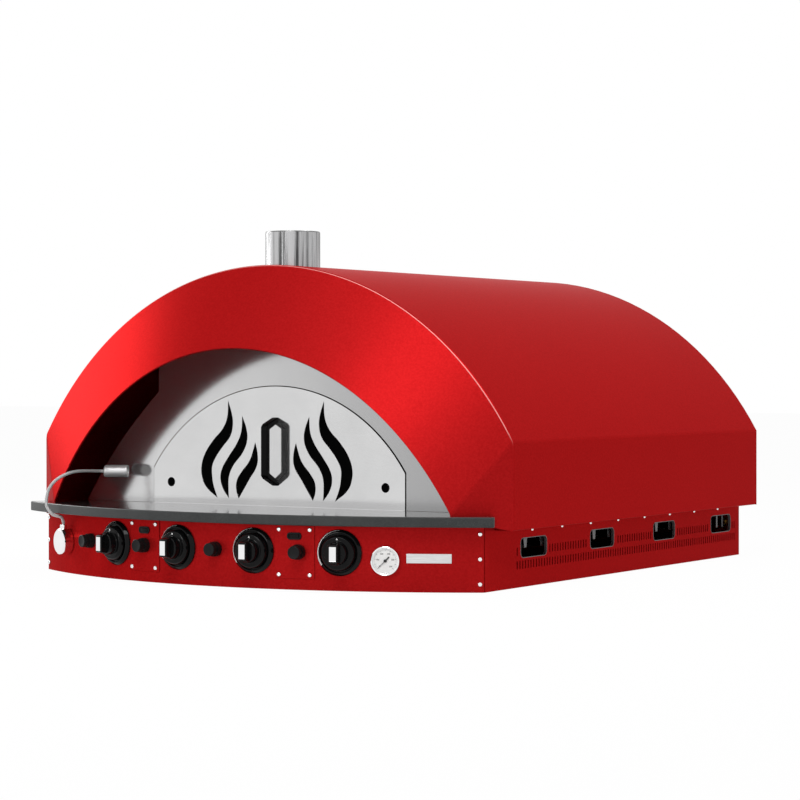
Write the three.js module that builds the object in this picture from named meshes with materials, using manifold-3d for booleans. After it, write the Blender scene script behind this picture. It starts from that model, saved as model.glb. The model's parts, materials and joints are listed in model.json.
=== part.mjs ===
// Countertop gas pizza oven: a bow-fronted gas base, a domed sheet hood with a flared visor,
// a refractory chamber, a lift-out stainless door and a row of controls on the curved front.
// Millimetres, +Z up, front towards -Y. The origin is on the underside of the base, midway
// between the two front corners of its side panels.
import * as THREE from 'three';
import { mergeVertices } from 'three/addons/utils/BufferGeometryUtils.js';
import Module from 'manifold-3d';

const wasm = await Module();
wasm.setup();

// ---------------------------------------------------------------- driving dimensions
const GAP = 0.3;                 // clearance between touching pieces
const SHEET = 3;                 // painted steel sheet
const ARC_STEPS = 48;            // facets along the hood's arch
const BOW_STEPS = 22;            // curve segments of the bowed front, two facets each

const BASE_HALF = 540;           // half width of the base
const BASE_DEPTH = 1177;         // side panel length
const BASE_HEIGHT = 126;
const BOW_RISE = 159;            // how far the front bows forward at the middle
const PAN_THICK = 2;

const SLAB_THICK = 20;
const SLAB_HALF = BASE_HALF + 35;  // half length of the stone shelf
const SLAB_OVERHANG = 22;        // beyond the curved front
const SLAB_TIP_Y = -20;          // front corners of the shelf
const SLAB_CORNER = 8;
const SLAB_BACK = 95;            // back edge, behind the door

const HOOD_HALF = BASE_HALF + 42;
const HOOD_FRONT = 45;           // front edge of the barrel
const HOOD_BACK = BASE_DEPTH + 5;
const HOOD_BOTTOM = BASE_HEIGHT - 9;
const SHOULDER_Z = BASE_HEIGHT + 162;  // where the side turns into the arch
const CREST_Z = BASE_HEIGHT + 516;
const ARCH_SPREAD = 1.173 * HOOD_HALF;  // semi-axis of the arch ellipse along X
const VISOR_RIM_Y = HOOD_FRONT - 4;  // outer crease of the visor
const VISOR_THICK = 3.7;         // measured along Y
const MOUTH_HALF = BASE_HALF - 50;  // inner edge of the visor
const MOUTH_FOOT_Z = BASE_HEIGHT + 22;
const MOUTH_CREST_Z = BASE_HEIGHT + 345;
const MOUTH_FOOT_Y = -42;
const MOUTH_CREST_Y = -77;
const VISOR_FOOT_Z = BASE_HEIGHT + 14;  // lower edge of the visor beside the shelf

const FASCIA_Y = 78;
const FASCIA_HALF = MOUTH_HALF + 6;
const FASCIA_WAIST = { x: MOUTH_HALF - 65, z: BASE_HEIGHT + 142 };  // pulls its sides inwards
const FASCIA_NECK_HALF = MOUTH_HALF - 187;
const FASCIA_NECK_Z = BASE_HEIGHT + 255;
const FASCIA_TOP_Z = BASE_HEIGHT + 394;

const DOOR_HALF = 314;
const DOOR_SIDE_Z = BASE_HEIGHT + 94;   // top of the straight sides
const DOOR_CREST_Z = BASE_HEIGHT + 267;
const DOOR_GAP = 2;
const DOOR_THICK = 3;
const DOOR_Y = 76;
const DOOR_LIP = 6;              // folded lip at the foot of the door
const DOOR_HOLE_X = DOOR_HALF - 46;
const DOOR_HOLE_Z = BASE_HEIGHT + 65;
const DOOR_HOLE_R = 8;
const BACKING_THICK = 2;

const VAULT_HALF = BASE_HALF - 115;  // refractory chamber, outside
const VAULT_RISE = 315;
const VAULT_WALL = 30;
const VAULT_BACK = BASE_DEPTH - 84;
const TILE_HALF = VAULT_HALF - 85;  // half width of the baking floor
const TILE_JOINT = 1;
const FLUE_Y = 139;
const FLUE_R = 57;
const FLUE_WALL = 2;
const FLUE_TOP = CREST_Z + 72;
const FLUE_FOOT = CREST_Z - 192;
const HEAT_SLOT = { inner: TILE_HALF + 6, outer: TILE_HALF + 48, front: 160, back: VAULT_BACK - 90 };

const KNOB_ARC = -255.5;         // first knob, measured along the curved front
const KNOB_PITCH = 181.8;
const IGNITER_ARC = -346.5;
const IGNITER_PITCH = 183.5;
const CONTROL_COUNT = 4;
const BEZEL_R = 45;
const CONTROL_Z = BASE_HEIGHT - BEZEL_R - 7;  // height of the knobs and igniters
const INLET = { x: BASE_HALF - 40, z: CONTROL_Z, hole: 12 };  // gas union in the rear panel
const BEZEL_RIM = 8;
const BEZEL_FLOOR = 4;
const KNOB_R = 35;
const KNOB_BACK = 8;             // back of the knob, out from the panel
const KNOB_SKIRT = 18;           // front of its skirt
const HUB_R = 22.5;
const HUB_OUT = 33;
const GRIP_OUT = 47;
const GRIP_LENGTH = 38;
const GRIP_WIDTH = 19;
const STEM_R = 5;
const STEM_IN = 36;              // how far the tap stem reaches behind the panel
const SOCKET_DEPTH = 8;
const TAP_R = 12;
const PIPE_R = 8;
const PIPE_INSET = 62;           // manifold pipe behind the curved front
const BURNER_R = 16;
const BURNER_WALL = 2;
const BURNER_START = 84;         // burner mouth behind the curved front
const BURNER_END = BASE_DEPTH - 174;
const RAIL_Y = [60, BASE_DEPTH - 224];
const RAIL_DEPTH = 24;
const RAIL_HEIGHT = 55;

const COLLAR_R = 15;
const COLLAR_OUT = 12;
const SHANK_R = 10;              // igniter body, behind the panel
const PLUNGER_R = 8;
const BUTTON_R = 13;
const BUTTON_OUT = 25;
// each service plate sits between two bezels, round one igniter and its switch
const PLATE_ARCS = [0.5, 2.5].map((step) => KNOB_ARC + step * KNOB_PITCH - 1.5);
const PLATE_WIDTH = KNOB_PITCH - 2 * BEZEL_R - 8;
const PLATE_HEIGHT = 104;
const PLATE_THICK = 1.5;
const SWITCH_Z = 104.5;
const SWITCH_WIDTH = 30;
const SWITCH_HEIGHT = 14;
const GAUGE_ARC = 381;
const GAUGE_Z = CONTROL_Z - 14;  // its stem passes under the gas pipe
const GAUGE_R = 28.5;
const GAUGE_OUT = 9;
const PLATE_NAME_ARC = 465;
const PLATE_NAME_Z = 65;
const PLATE_NAME_WIDTH = 87;
const PLATE_NAME_HEIGHT = 18;

const LAMP_ARC = -452;
const LAMP_Z = 67;
const LAMP_BASE_R = 27.5;
const LAMP_BASE_OUT = 24;
const LAMP_STUB_R = 5;
const NECK_R = 3.5;
const HEAD_R = 13;
const HEAD_LENGTH = 50;
const NECK_REACH = { x: 36, y: 93, z: 110 };  // back of the lamp head, from the top of the socket
const NECK_PATH = [
  [3, -11, 16], [-6, -27, 22], [-15, -31, 33], [-22, -29, 45], [-23, -25, 63], [-20, -19, 79],
  [-12, -6, 95], [2, 10, 106], [11, 37, 111]];

const VENT_COUNT = 4;
const VENT_FIRST = 196;          // middles of the first and last side openings
const VENT_LAST = BASE_DEPTH - 101;
const VENT_WIDTH = 107;
const VENT_HEIGHT = 39;
const VENT_Z = 77;
const VENT_CORNER = 10;

// ---------------------------------------------------------------- derived sizes
const BOW_R = (BASE_HALF ** 2 + BOW_RISE ** 2) / (2 * BOW_RISE);
const BOW_Y = BOW_R - BOW_RISE;          // centre of the bow, behind the front corners
const BOW_ANGLE = Math.asin(BASE_HALF / BOW_R);
const INNER_HALF = BASE_HALF - SHEET - GAP;
const SLAB_Z = BASE_HEIGHT + GAP;
const SLAB_TOP = SLAB_Z + SLAB_THICK;
const STAND_Z = SLAB_TOP + GAP;          // foot of the fascia and the door

const arch = (half, spread, shoulder, crest) => {
  const drop = Math.sqrt(1 - (half / spread) ** 2);
  const rise = (crest - shoulder) / (1 - drop);
  return { half, spread, rise, z0: crest - rise, end: Math.asin(half / spread) };
};
const HOOD_ARCH = arch(HOOD_HALF, ARCH_SPREAD, SHOULDER_Z, CREST_Z);
// the mouth is the hood's arch drawn smaller, so that the visor between them is evenly flared
const MOUTH_ARCH = arch(MOUTH_HALF, ARCH_SPREAD * MOUTH_HALF / HOOD_HALF, MOUTH_FOOT_Z, MOUTH_CREST_Z);

// ---------------------------------------------------------------- geometry helpers
const toSolid = (geometry) => {
  const bare = geometry.clone();
  bare.deleteAttribute('normal');
  bare.deleteAttribute('uv');
  const merged = mergeVertices(bare, 1e-4);
  return new wasm.Manifold(new wasm.Mesh({
    numProp: 3,
    vertProperties: new Float32Array(merged.attributes.position.array),
    triVerts: new Uint32Array(merged.index.array),
  }));
};

const toGeometry = (solid) => {
  const mesh = solid.getMesh();
  const geometry = new THREE.BufferGeometry();
  geometry.setAttribute('position', new THREE.BufferAttribute(mesh.vertProperties, 3));
  geometry.setIndex(new THREE.BufferAttribute(mesh.triVerts, 1));
  geometry.computeVertexNormals();
  return geometry;
};

const joined = (first, ...others) => {
  const solid = others.reduce((sum, next) => sum.add(toSolid(next)), toSolid(first));
  return toGeometry(solid);
};

const cut = (body, ...tools) => {
  const solid = tools.reduce((rest, tool) => rest.subtract(toSolid(tool)), toSolid(body));
  return toGeometry(solid);
};

const extrude = (shape, depth, curveSegments = 12) =>
  new THREE.ExtrudeGeometry(shape, { depth, bevelEnabled: false, curveSegments });

// plan outline (x, y) raised from z
const raised = (shape, z, height, segments) => extrude(shape, height, segments).translate(0, 0, z);

// front outline (x, z) with its front face at y
const upright = (shape, y, depth, segments) =>
  extrude(shape, depth, segments).rotateX(Math.PI / 2).translate(0, y + depth, 0);

// side outline (y, z) with its inner face at x
const sideways = (shape, x, depth, segments) => {
  const turn = new THREE.Matrix4().makeBasis(
    new THREE.Vector3(0, 1, 0), new THREE.Vector3(0, 0, 1), new THREE.Vector3(1, 0, 0));
  return extrude(shape, depth, segments).applyMatrix4(turn).translate(x, 0, 0);
};

const block = (x0, x1, y0, y1, z0, z1) =>
  new THREE.BoxGeometry(x1 - x0, y1 - y0, z1 - z0)
    .translate((x0 + x1) / 2, (y0 + y1) / 2, (z0 + z1) / 2);

// a turned piece whose axis points forward, profile given as [radius, distance out]
const turned = (profile, segments = 30) =>
  new THREE.LatheGeometry(profile.map(([r, out]) => new THREE.Vector2(r, out)), segments)
    .rotateX(Math.PI);

// a turned piece standing upright, profile given as [radius, height]
const standing = (profile, segments = 30) =>
  new THREE.LatheGeometry(profile.map(([r, z]) => new THREE.Vector2(r, z)), segments)
    .rotateX(Math.PI / 2);

const roundedRect = (width, height, radius, cx = 0, cy = 0) => {
  const [w, h] = [width / 2, height / 2];
  const shape = new THREE.Shape();
  shape.moveTo(cx - w + radius, cy - h);
  shape.lineTo(cx + w - radius, cy - h);
  shape.absarc(cx + w - radius, cy - h + radius, radius, -Math.PI / 2, 0);
  shape.lineTo(cx + w, cy + h - radius);
  shape.absarc(cx + w - radius, cy + h - radius, radius, 0, Math.PI / 2);
  shape.lineTo(cx - w + radius, cy + h);
  shape.absarc(cx - w + radius, cy + h - radius, radius, Math.PI / 2, Math.PI);
  shape.lineTo(cx - w, cy - h + radius);
  shape.absarc(cx - w + radius, cy - h + radius, radius, Math.PI, Math.PI * 1.5);
  return shape;
};

// a strip that follows the bow between two radii and two arc positions
const bowStrip = (inner, outer, arcFrom, arcTo) => {
  const [a0, a1] = [arcFrom / BOW_R - Math.PI / 2, arcTo / BOW_R - Math.PI / 2];
  const shape = new THREE.Shape();
  shape.absarc(0, BOW_Y, outer, a0, a1, false);
  shape.absarc(0, BOW_Y, inner, a1, a0, true);
  shape.closePath();
  return shape;
};

const onBow = (radius, angle) => [radius * Math.sin(angle), BOW_Y - radius * Math.cos(angle)];

// ---------------------------------------------------------------- model and materials
const oven = new THREE.Group();

const paint = { color: 0xbe161a, roughness: 0.45, metalness: 0.0 };
const steel = { color: 0xd0d0d0, roughness: 0.3, metalness: 1.0 };
const darkSteel = { color: 0x3a3a3c, roughness: 0.5, metalness: 0.8 };
const black = { color: 0x141414, roughness: 0.35, metalness: 0.0 };
const stone = { color: 0x464b4b, roughness: 0.3, metalness: 0.0 };
const firebrick = { color: 0xb9a184, roughness: 0.9, metalness: 0.0 };
const brass = { color: 0xb08d3e, roughness: 0.35, metalness: 1.0 };
const white = { color: 0xf2f2ee, roughness: 0.4, metalness: 0.0 };

const add = (name, geometry, look, parent = oven) => {
  const mesh = new THREE.Mesh(geometry, new THREE.MeshStandardMaterial(look));
  mesh.name = name;
  parent.add(mesh);
  return mesh;
};

// a group at a place on the curved front: its -Y points straight out of the panel
const station = (arc, z) => {
  const angle = arc / BOW_R;
  const [x, y] = onBow(BOW_R, angle);
  const group = new THREE.Group();
  group.position.set(x, y, z);
  group.rotation.z = angle;
  oven.add(group);
  return group;
};

// a cutter at a place on the curved front
const atStation = (geometry, arc, z) => {
  const [x, y] = onBow(BOW_R, arc / BOW_R);
  return geometry.rotateZ(arc / BOW_R).translate(x, y, z);
};

// ---------------------------------------------------------------- base
const basePlan = (radius, half, back) => {
  const angle = Math.asin(half / radius);
  const shape = new THREE.Shape();
  shape.absarc(0, BOW_Y, radius, -Math.PI / 2 - angle, -Math.PI / 2 + angle, false);
  shape.lineTo(half, back);
  shape.lineTo(-half, back);
  return shape;
};

function addBase() {
  const innerBack = BASE_DEPTH - SHEET - GAP;
  const plan = () => basePlan(BOW_R - SHEET - GAP, INNER_HALF, innerBack);
  add('base_pan', raised(plan(), 0, PAN_THICK, BOW_STEPS), darkSteel);

  const slots = [HEAT_SLOT.inner, -HEAT_SLOT.outer].map((x) => block(
    x, x + HEAT_SLOT.outer - HEAT_SLOT.inner, HEAT_SLOT.front, HEAT_SLOT.back, 0, 2 * BASE_HEIGHT));
  add('base_top', cut(raised(plan(), BASE_HEIGHT - SHEET, SHEET, BOW_STEPS), ...slots), darkSteel);

  for (const [name, inner] of [['base_right_panel', BASE_HALF - SHEET], ['base_left_panel', -BASE_HALF]]) {
    const outline = new THREE.Shape();
    outline.moveTo(SHEET, 0);
    outline.lineTo(BASE_DEPTH, 0);
    outline.lineTo(BASE_DEPTH, BASE_HEIGHT);
    outline.lineTo(SHEET, BASE_HEIGHT);
    for (let i = 0; i < VENT_COUNT; i += 1) {
      const y = VENT_FIRST + (VENT_LAST - VENT_FIRST) * i / (VENT_COUNT - 1);
      outline.holes.push(roundedRect(VENT_WIDTH, VENT_HEIGHT, VENT_CORNER, y, VENT_Z));
    }
    add(name, sideways(outline, inner, SHEET, 3), paint);
  }

  const inletHole = new THREE.CylinderGeometry(INLET.hole, INLET.hole, 4 * SHEET, 20)
    .translate(INLET.x, BASE_DEPTH, INLET.z);
  add('base_rear_panel', cut(
    block(-INNER_HALF, INNER_HALF, BASE_DEPTH - SHEET, BASE_DEPTH, 0, BASE_HEIGHT), inletHole), paint);

  RAIL_Y.forEach((y, index) => {
    const rail = joined(
      block(-INNER_HALF, INNER_HALF, y, y + SHEET, PAN_THICK + GAP, RAIL_HEIGHT),
      block(-INNER_HALF, INNER_HALF, y, y + RAIL_DEPTH, RAIL_HEIGHT - SHEET, RAIL_HEIGHT));
    add(index ? 'burner_rail_rear' : 'burner_rail_front', rail, darkSteel);
  });
}

function addControlPanel() {
  const through = 4 * SHEET;
  const round = (r, arc, z) => atStation(new THREE.CylinderGeometry(r, r, through, 20), arc, z);
  const tools = [];
  for (let i = 0; i < CONTROL_COUNT; i += 1) {
    tools.push(round(STEM_R + 2, KNOB_ARC + i * KNOB_PITCH, CONTROL_Z));
    tools.push(round(SHANK_R + GAP, IGNITER_ARC + i * IGNITER_PITCH, CONTROL_Z));
  }
  tools.push(round(STEM_R + GAP, GAUGE_ARC, GAUGE_Z));
  for (const arc of PLATE_ARCS) {
    const slot = new THREE.BoxGeometry(SWITCH_WIDTH - 3, through, SWITCH_HEIGHT - 3);
    tools.push(atStation(slot, arc, SWITCH_Z));
  }
  const half = BOW_ANGLE * BOW_R;
  const sheet = raised(bowStrip(BOW_R - SHEET, BOW_R, -half, half), 0, BASE_HEIGHT, BOW_STEPS);
  add('control_panel', cut(sheet, ...tools), paint);
}

function addShelf() {
  // plan: a front struck from its own centre, square ends with eased corners, then in along
  // the visor's foot and straight back to the door
  const front = -BOW_RISE - SLAB_OVERHANG;
  const rise = SLAB_TIP_Y - front;
  const radius = (SLAB_HALF ** 2 + rise ** 2) / (2 * rise);
  const centre = front + radius;
  const end = Math.asin(SLAB_HALF / radius);
  const flare = (VISOR_RIM_Y - MOUTH_FOOT_Y) / (HOOD_HALF - MOUTH_HALF);
  const clear = 1.2;
  const footX = MOUTH_HALF - 1.5;
  const footY = MOUTH_FOOT_Y - clear * flare - clear;
  const fromTip = (inward) => [SLAB_HALF - inward * Math.sin(end), SLAB_TIP_Y + inward * Math.cos(end)];
  const endLength = (footY + (SLAB_HALF - footX) * flare - SLAB_TIP_Y)
    / (Math.cos(end) + flare * Math.sin(end));
  const eased = fromTip(SLAB_CORNER);
  const heel = fromTip(endLength);
  const angle = end - SLAB_CORNER / radius;
  const shape = new THREE.Shape();
  shape.absarc(0, centre, radius, -Math.PI / 2 - angle, -Math.PI / 2 + angle, false);
  shape.quadraticCurveTo(SLAB_HALF, SLAB_TIP_Y, eased[0], eased[1]);
  shape.lineTo(heel[0], heel[1]);
  shape.lineTo(footX, footY);
  shape.lineTo(footX, SLAB_BACK);
  shape.lineTo(-footX, SLAB_BACK);
  shape.lineTo(-footX, footY);
  shape.lineTo(-heel[0], heel[1]);
  shape.lineTo(-eased[0], eased[1]);
  const leftEnd = [-radius * Math.sin(angle), centre - radius * Math.cos(angle)];
  shape.quadraticCurveTo(-SLAB_HALF, SLAB_TIP_Y, leftEnd[0], leftEnd[1]);
  add('shelf_slab', raised(shape, SLAB_Z, SLAB_THICK, BOW_STEPS), stone);
}

// ---------------------------------------------------------------- hood
// points of an arch from right to left, moved inwards by inset
const archPoints = (a, inset, steps) => {
  const points = [];
  for (let i = 0; i <= steps; i += 1) {
    const t = a.end - (2 * a.end * i) / steps;
    const normal = new THREE.Vector2(Math.sin(t) / a.spread, Math.cos(t) / a.rise).normalize();
    const [x, z] = [a.spread * Math.sin(t), a.z0 + a.rise * Math.cos(t)];
    points.push([x - inset * normal.x, z - inset * normal.y]);
  }
  return points;
};

const outlineOf = (points) => new THREE.Shape(points.map(([x, y]) => new THREE.Vector2(x, y)));

function addHood() {
  const flange = BASE_HALF + GAP;
  const outer = archPoints(HOOD_ARCH, 0, ARC_STEPS);
  const inner = archPoints(HOOD_ARCH, SHEET, ARC_STEPS)
    .map(([x, z]) => [Math.sign(x) * Math.min(Math.abs(x), HOOD_HALF - SHEET), z])
    .reverse();
  const shell = outlineOf([
    [flange, HOOD_BOTTOM], [HOOD_HALF, HOOD_BOTTOM], ...outer, [-HOOD_HALF, HOOD_BOTTOM],
    [-flange, HOOD_BOTTOM], [-flange, HOOD_BOTTOM + SHEET], [-HOOD_HALF + SHEET, HOOD_BOTTOM + SHEET],
    ...inner, [HOOD_HALF - SHEET, HOOD_BOTTOM + SHEET], [flange, HOOD_BOTTOM + SHEET],
  ]);
  const back = HOOD_BACK - SHEET - GAP;
  const flueHole = new THREE.CylinderGeometry(FLUE_R + GAP, FLUE_R + GAP, 200, 40)
    .rotateX(Math.PI / 2).translate(0, FLUE_Y, CREST_Z);
  add('hood_shell', cut(upright(shell, HOOD_FRONT, back - HOOD_FRONT), flueHole), paint);

  const rear = outlineOf([[HOOD_HALF, HOOD_BOTTOM], ...outer, [-HOOD_HALF, HOOD_BOTTOM]]);
  add('hood_rear_panel', upright(rear, HOOD_BACK - SHEET, SHEET), paint);
}

// the visor is a flared sheet ruled between the hood's rim and the mouth's edge
function addVisor() {
  const arcSteps = ARC_STEPS;
  const bandSteps = 3;
  const rim = [[HOOD_HALF, HOOD_BOTTOM], ...archPoints(HOOD_ARCH, 0, arcSteps), [-HOOD_HALF, HOOD_BOTTOM]];
  const mouth = [
    [MOUTH_HALF, VISOR_FOOT_Z], ...archPoints(MOUTH_ARCH, 0, arcSteps), [-MOUTH_HALF, VISOR_FOOT_Z]];
  const lean = (MOUTH_CREST_Y - MOUTH_FOOT_Y) / (MOUTH_CREST_Z - MOUTH_FOOT_Z);
  const rows = rim.map(([rx, rz], i) => {
    const [mx, mz] = mouth[i];
    const my = MOUTH_FOOT_Y + lean * Math.max(0, mz - MOUTH_FOOT_Z);
    return Array.from({ length: bandSteps + 1 }, (_, k) => {
      const t = k / bandSteps;
      return [rx + (mx - rx) * t, VISOR_RIM_Y + (my - VISOR_RIM_Y) * t, rz + (mz - rz) * t];
    });
  });
  const columns = bandSteps + 1;
  const count = rows.length * columns;
  const positions = [];
  for (const shift of [0, VISOR_THICK]) {
    for (const row of rows) for (const [x, y, z] of row) positions.push(x, y + shift, z);
  }
  const index = [];
  const quad = (a, b, c, d) => index.push(a, b, c, a, c, d);
  const at = (i, k, layer) => layer * count + i * columns + k;
  for (let i = 0; i < rows.length - 1; i += 1) {
    for (let k = 0; k < bandSteps; k += 1) {
      quad(at(i, k, 0), at(i + 1, k, 0), at(i + 1, k + 1, 0), at(i, k + 1, 0));
      quad(at(i, k, 1), at(i, k + 1, 1), at(i + 1, k + 1, 1), at(i + 1, k, 1));
    }
    quad(at(i, 0, 0), at(i, 0, 1), at(i + 1, 0, 1), at(i + 1, 0, 0));
    quad(at(i, bandSteps, 0), at(i + 1, bandSteps, 0), at(i + 1, bandSteps, 1), at(i, bandSteps, 1));
  }
  const last = rows.length - 1;
  for (let k = 0; k < bandSteps; k += 1) {
    quad(at(0, k, 0), at(0, k + 1, 0), at(0, k + 1, 1), at(0, k, 1));
    quad(at(last, k, 0), at(last, k, 1), at(last, k + 1, 1), at(last, k + 1, 0));
  }
  const geometry = new THREE.BufferGeometry();
  geometry.setAttribute('position', new THREE.Float32BufferAttribute(positions, 3));
  geometry.setIndex(index);
  geometry.computeVertexNormals();
  add('hood_visor', geometry, paint);
}

// ---------------------------------------------------------------- oven front and chamber
// straight sides, then one circular arc through the crest
const doorOutline = (grow, foot) => {
  const half = DOOR_HALF + grow;
  const rise = DOOR_CREST_Z - DOOR_SIDE_Z;
  const radius = (half ** 2 + rise ** 2) / (2 * rise);
  const centre = DOOR_CREST_Z + grow - radius;
  const angle = Math.asin(half / radius);
  const shape = new THREE.Shape();
  shape.moveTo(-half, foot);
  shape.lineTo(half, foot);
  shape.absarc(0, centre, radius, Math.PI / 2 - angle, Math.PI / 2 + angle, false);
  shape.closePath();
  return shape;
};

function addFascia() {
  const outline = new THREE.Shape();
  outline.moveTo(FASCIA_HALF, STAND_Z);
  outline.quadraticCurveTo(FASCIA_WAIST.x, FASCIA_WAIST.z, FASCIA_NECK_HALF, FASCIA_NECK_Z);
  outline.lineTo(FASCIA_NECK_HALF, FASCIA_TOP_Z);
  outline.lineTo(-FASCIA_NECK_HALF, FASCIA_TOP_Z);
  outline.lineTo(-FASCIA_NECK_HALF, FASCIA_NECK_Z);
  outline.quadraticCurveTo(-FASCIA_WAIST.x, FASCIA_WAIST.z, -FASCIA_HALF, STAND_Z);
  const opening = upright(doorOutline(DOOR_GAP, STAND_Z - SLAB_THICK), FASCIA_Y - SHEET, 3 * SHEET, 32);
  add('fascia', cut(upright(outline, FASCIA_Y, SHEET), opening), steel);
}

function addChamber() {
  const shoulder = SLAB_TOP;
  const shape = new THREE.Shape();
  const hollow = { half: VAULT_HALF - VAULT_WALL, rise: VAULT_RISE - VAULT_WALL };
  shape.moveTo(hollow.half, SLAB_Z);
  shape.lineTo(VAULT_HALF, SLAB_Z);
  shape.absellipse(0, shoulder, VAULT_HALF, VAULT_RISE, 0, Math.PI, false);
  shape.lineTo(-VAULT_HALF, SLAB_Z);
  shape.lineTo(-hollow.half, SLAB_Z);
  shape.absellipse(0, shoulder, hollow.half, hollow.rise, Math.PI, 0, true);
  shape.closePath();
  const front = FASCIA_Y + SHEET + GAP;
  const vault = upright(shape, front, VAULT_BACK - front, 16);
  const wallShape = new THREE.Shape();
  wallShape.moveTo(VAULT_HALF, SLAB_Z);
  wallShape.absellipse(0, shoulder, VAULT_HALF, VAULT_RISE, 0, Math.PI, false);
  wallShape.lineTo(-VAULT_HALF, SLAB_Z);
  wallShape.closePath();
  const endWall = upright(wallShape, VAULT_BACK - VAULT_WALL, VAULT_WALL, 16);
  const flueHole = new THREE.CylinderGeometry(FLUE_R + GAP, FLUE_R + GAP, 200, 40)
    .rotateX(Math.PI / 2).translate(0, FLUE_Y, shoulder + VAULT_RISE);
  // the shelf's back edge passes under the front of the vault
  const shelfNotch = block(-BASE_HALF, BASE_HALF, 0, SLAB_BACK + GAP, 0, STAND_Z);
  const body = toSolid(vault).add(toSolid(endWall));
  add('oven_vault', toGeometry(body.subtract(toSolid(flueHole)).subtract(toSolid(shelfNotch))), firebrick);

  const tileFront = SLAB_BACK + TILE_JOINT;
  const tileBack = VAULT_BACK - VAULT_WALL - TILE_JOINT;
  const middle = (tileFront + tileBack) / 2;
  const half = TILE_JOINT / 2;
  const places = [
    [-TILE_HALF, -half, tileFront, middle - half], [half, TILE_HALF, tileFront, middle - half],
    [-TILE_HALF, -half, middle + half, tileBack], [half, TILE_HALF, middle + half, tileBack]];
  places.forEach(([x0, x1, y0, y1], i) => {
    add(`deck_tile_${i + 1}`, block(x0, x1, y0, y1, SLAB_Z, SLAB_TOP), firebrick);
  });
}

function addFlue() {
  const tube = standing([
    [FLUE_R - FLUE_WALL, FLUE_FOOT], [FLUE_R, FLUE_FOOT], [FLUE_R, FLUE_TOP],
    [FLUE_R - FLUE_WALL, FLUE_TOP], [FLUE_R - FLUE_WALL, FLUE_FOOT]], 40);
  add('flue_stub', tube.translate(0, FLUE_Y, 0), steel);
}

// ---------------------------------------------------------------- door
// edges of the three flame-shaped cut-outs on the right half, tip to foot: towards the middle, outwards
const FLAMES = [
  { tip: [120, 364], foot: [147, 160],
    near: [[109, 330], [108, 312], [114, 290], [134, 267], [151, 246], [161, 226], [161, 205], [158, 188]],
    far: [[123, 327], [134, 305], [159, 280], [181, 250], [189, 226], [188, 205], [179, 185]] },
  { tip: [84, 332], foot: [118, 160],
    near: [[73, 305], [71, 283], [81, 258], [109, 225], [118, 204], [119, 182]],
    far: [[87, 298], [97, 276], [118, 248], [136, 221], [140, 203], [134, 181]] },
  { tip: [51, 278], foot: [93, 160],
    near: [[45, 255], [46, 231], [66, 200]],
    far: [[56, 262], [65, 240], [88, 213], [98, 197], [99, 177]] },
];

const flameShape = ({ tip, foot, near, far }, side) => {
  const place = ([x, z]) => new THREE.Vector2(side * x, z);
  const edge = (points) => new THREE.SplineCurve(points.map(place)).getPoints(points.length * 2);
  const down = edge([tip, ...near, foot]);
  const up = edge([foot, ...[...far].reverse(), tip]);
  const points = [...down.slice(0, -1), ...up.slice(0, -1)];
  return new THREE.Shape(side > 0 ? points : points.reverse());
};

function addDoor() {
  const tools = [];
  for (const side of [-1, 1]) {
    for (const flame of FLAMES) {
      tools.push(upright(flameShape(flame, side), DOOR_Y - DOOR_THICK, 3 * DOOR_THICK));
    }
    tools.push(new THREE.CylinderGeometry(DOOR_HOLE_R, DOOR_HOLE_R, 4 * DOOR_THICK, 24)
      .translate(side * DOOR_HOLE_X, DOOR_Y, DOOR_HOLE_Z));
  }
  const plate = upright(doorOutline(0, STAND_Z), DOOR_Y, DOOR_THICK, 32);
  const inPlate = DOOR_THICK / 2;
  const lip = block(
    -DOOR_HALF, DOOR_HALF, DOOR_Y - DOOR_LIP, DOOR_Y + inPlate, STAND_Z, STAND_Z + inPlate);
  const body = tools.reduce((rest, tool) => rest.subtract(toSolid(tool)), toSolid(plate).add(toSolid(lip)));
  add('door_panel', toGeometry(body), steel);

  const backY = DOOR_Y + DOOR_THICK + GAP;
  add('door_backing', upright(doorOutline(-DOOR_GAP, STAND_Z + DOOR_GAP), backY, BACKING_THICK, 32), black);

  // bracket handle: a bar held off the door by two arms that splay towards their feet
  const bar = { width: 16, thick: 12, out: 42, foot: [188, 330], grip: [204, 317] };
  const face = DOOR_Y - GAP;
  const tipY = DOOR_Y - bar.out;
  const profile = new THREE.Shape();
  profile.moveTo(face, bar.foot[0]);
  profile.lineTo(face, bar.foot[0] + bar.thick);
  profile.lineTo(tipY + bar.thick, bar.grip[0] + bar.thick);
  profile.lineTo(tipY + bar.thick, bar.grip[1] - bar.thick);
  profile.lineTo(face, bar.foot[1] - bar.thick);
  profile.lineTo(face, bar.foot[1]);
  profile.lineTo(tipY + bar.thick / 2, bar.grip[1]);
  profile.lineTo(tipY, bar.grip[1] - bar.thick / 2);
  profile.lineTo(tipY, bar.grip[0] + bar.thick / 2);
  profile.lineTo(tipY + bar.thick / 2, bar.grip[0]);
  add('door_handle', sideways(profile, -bar.width / 2, bar.width), black);
}

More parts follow.
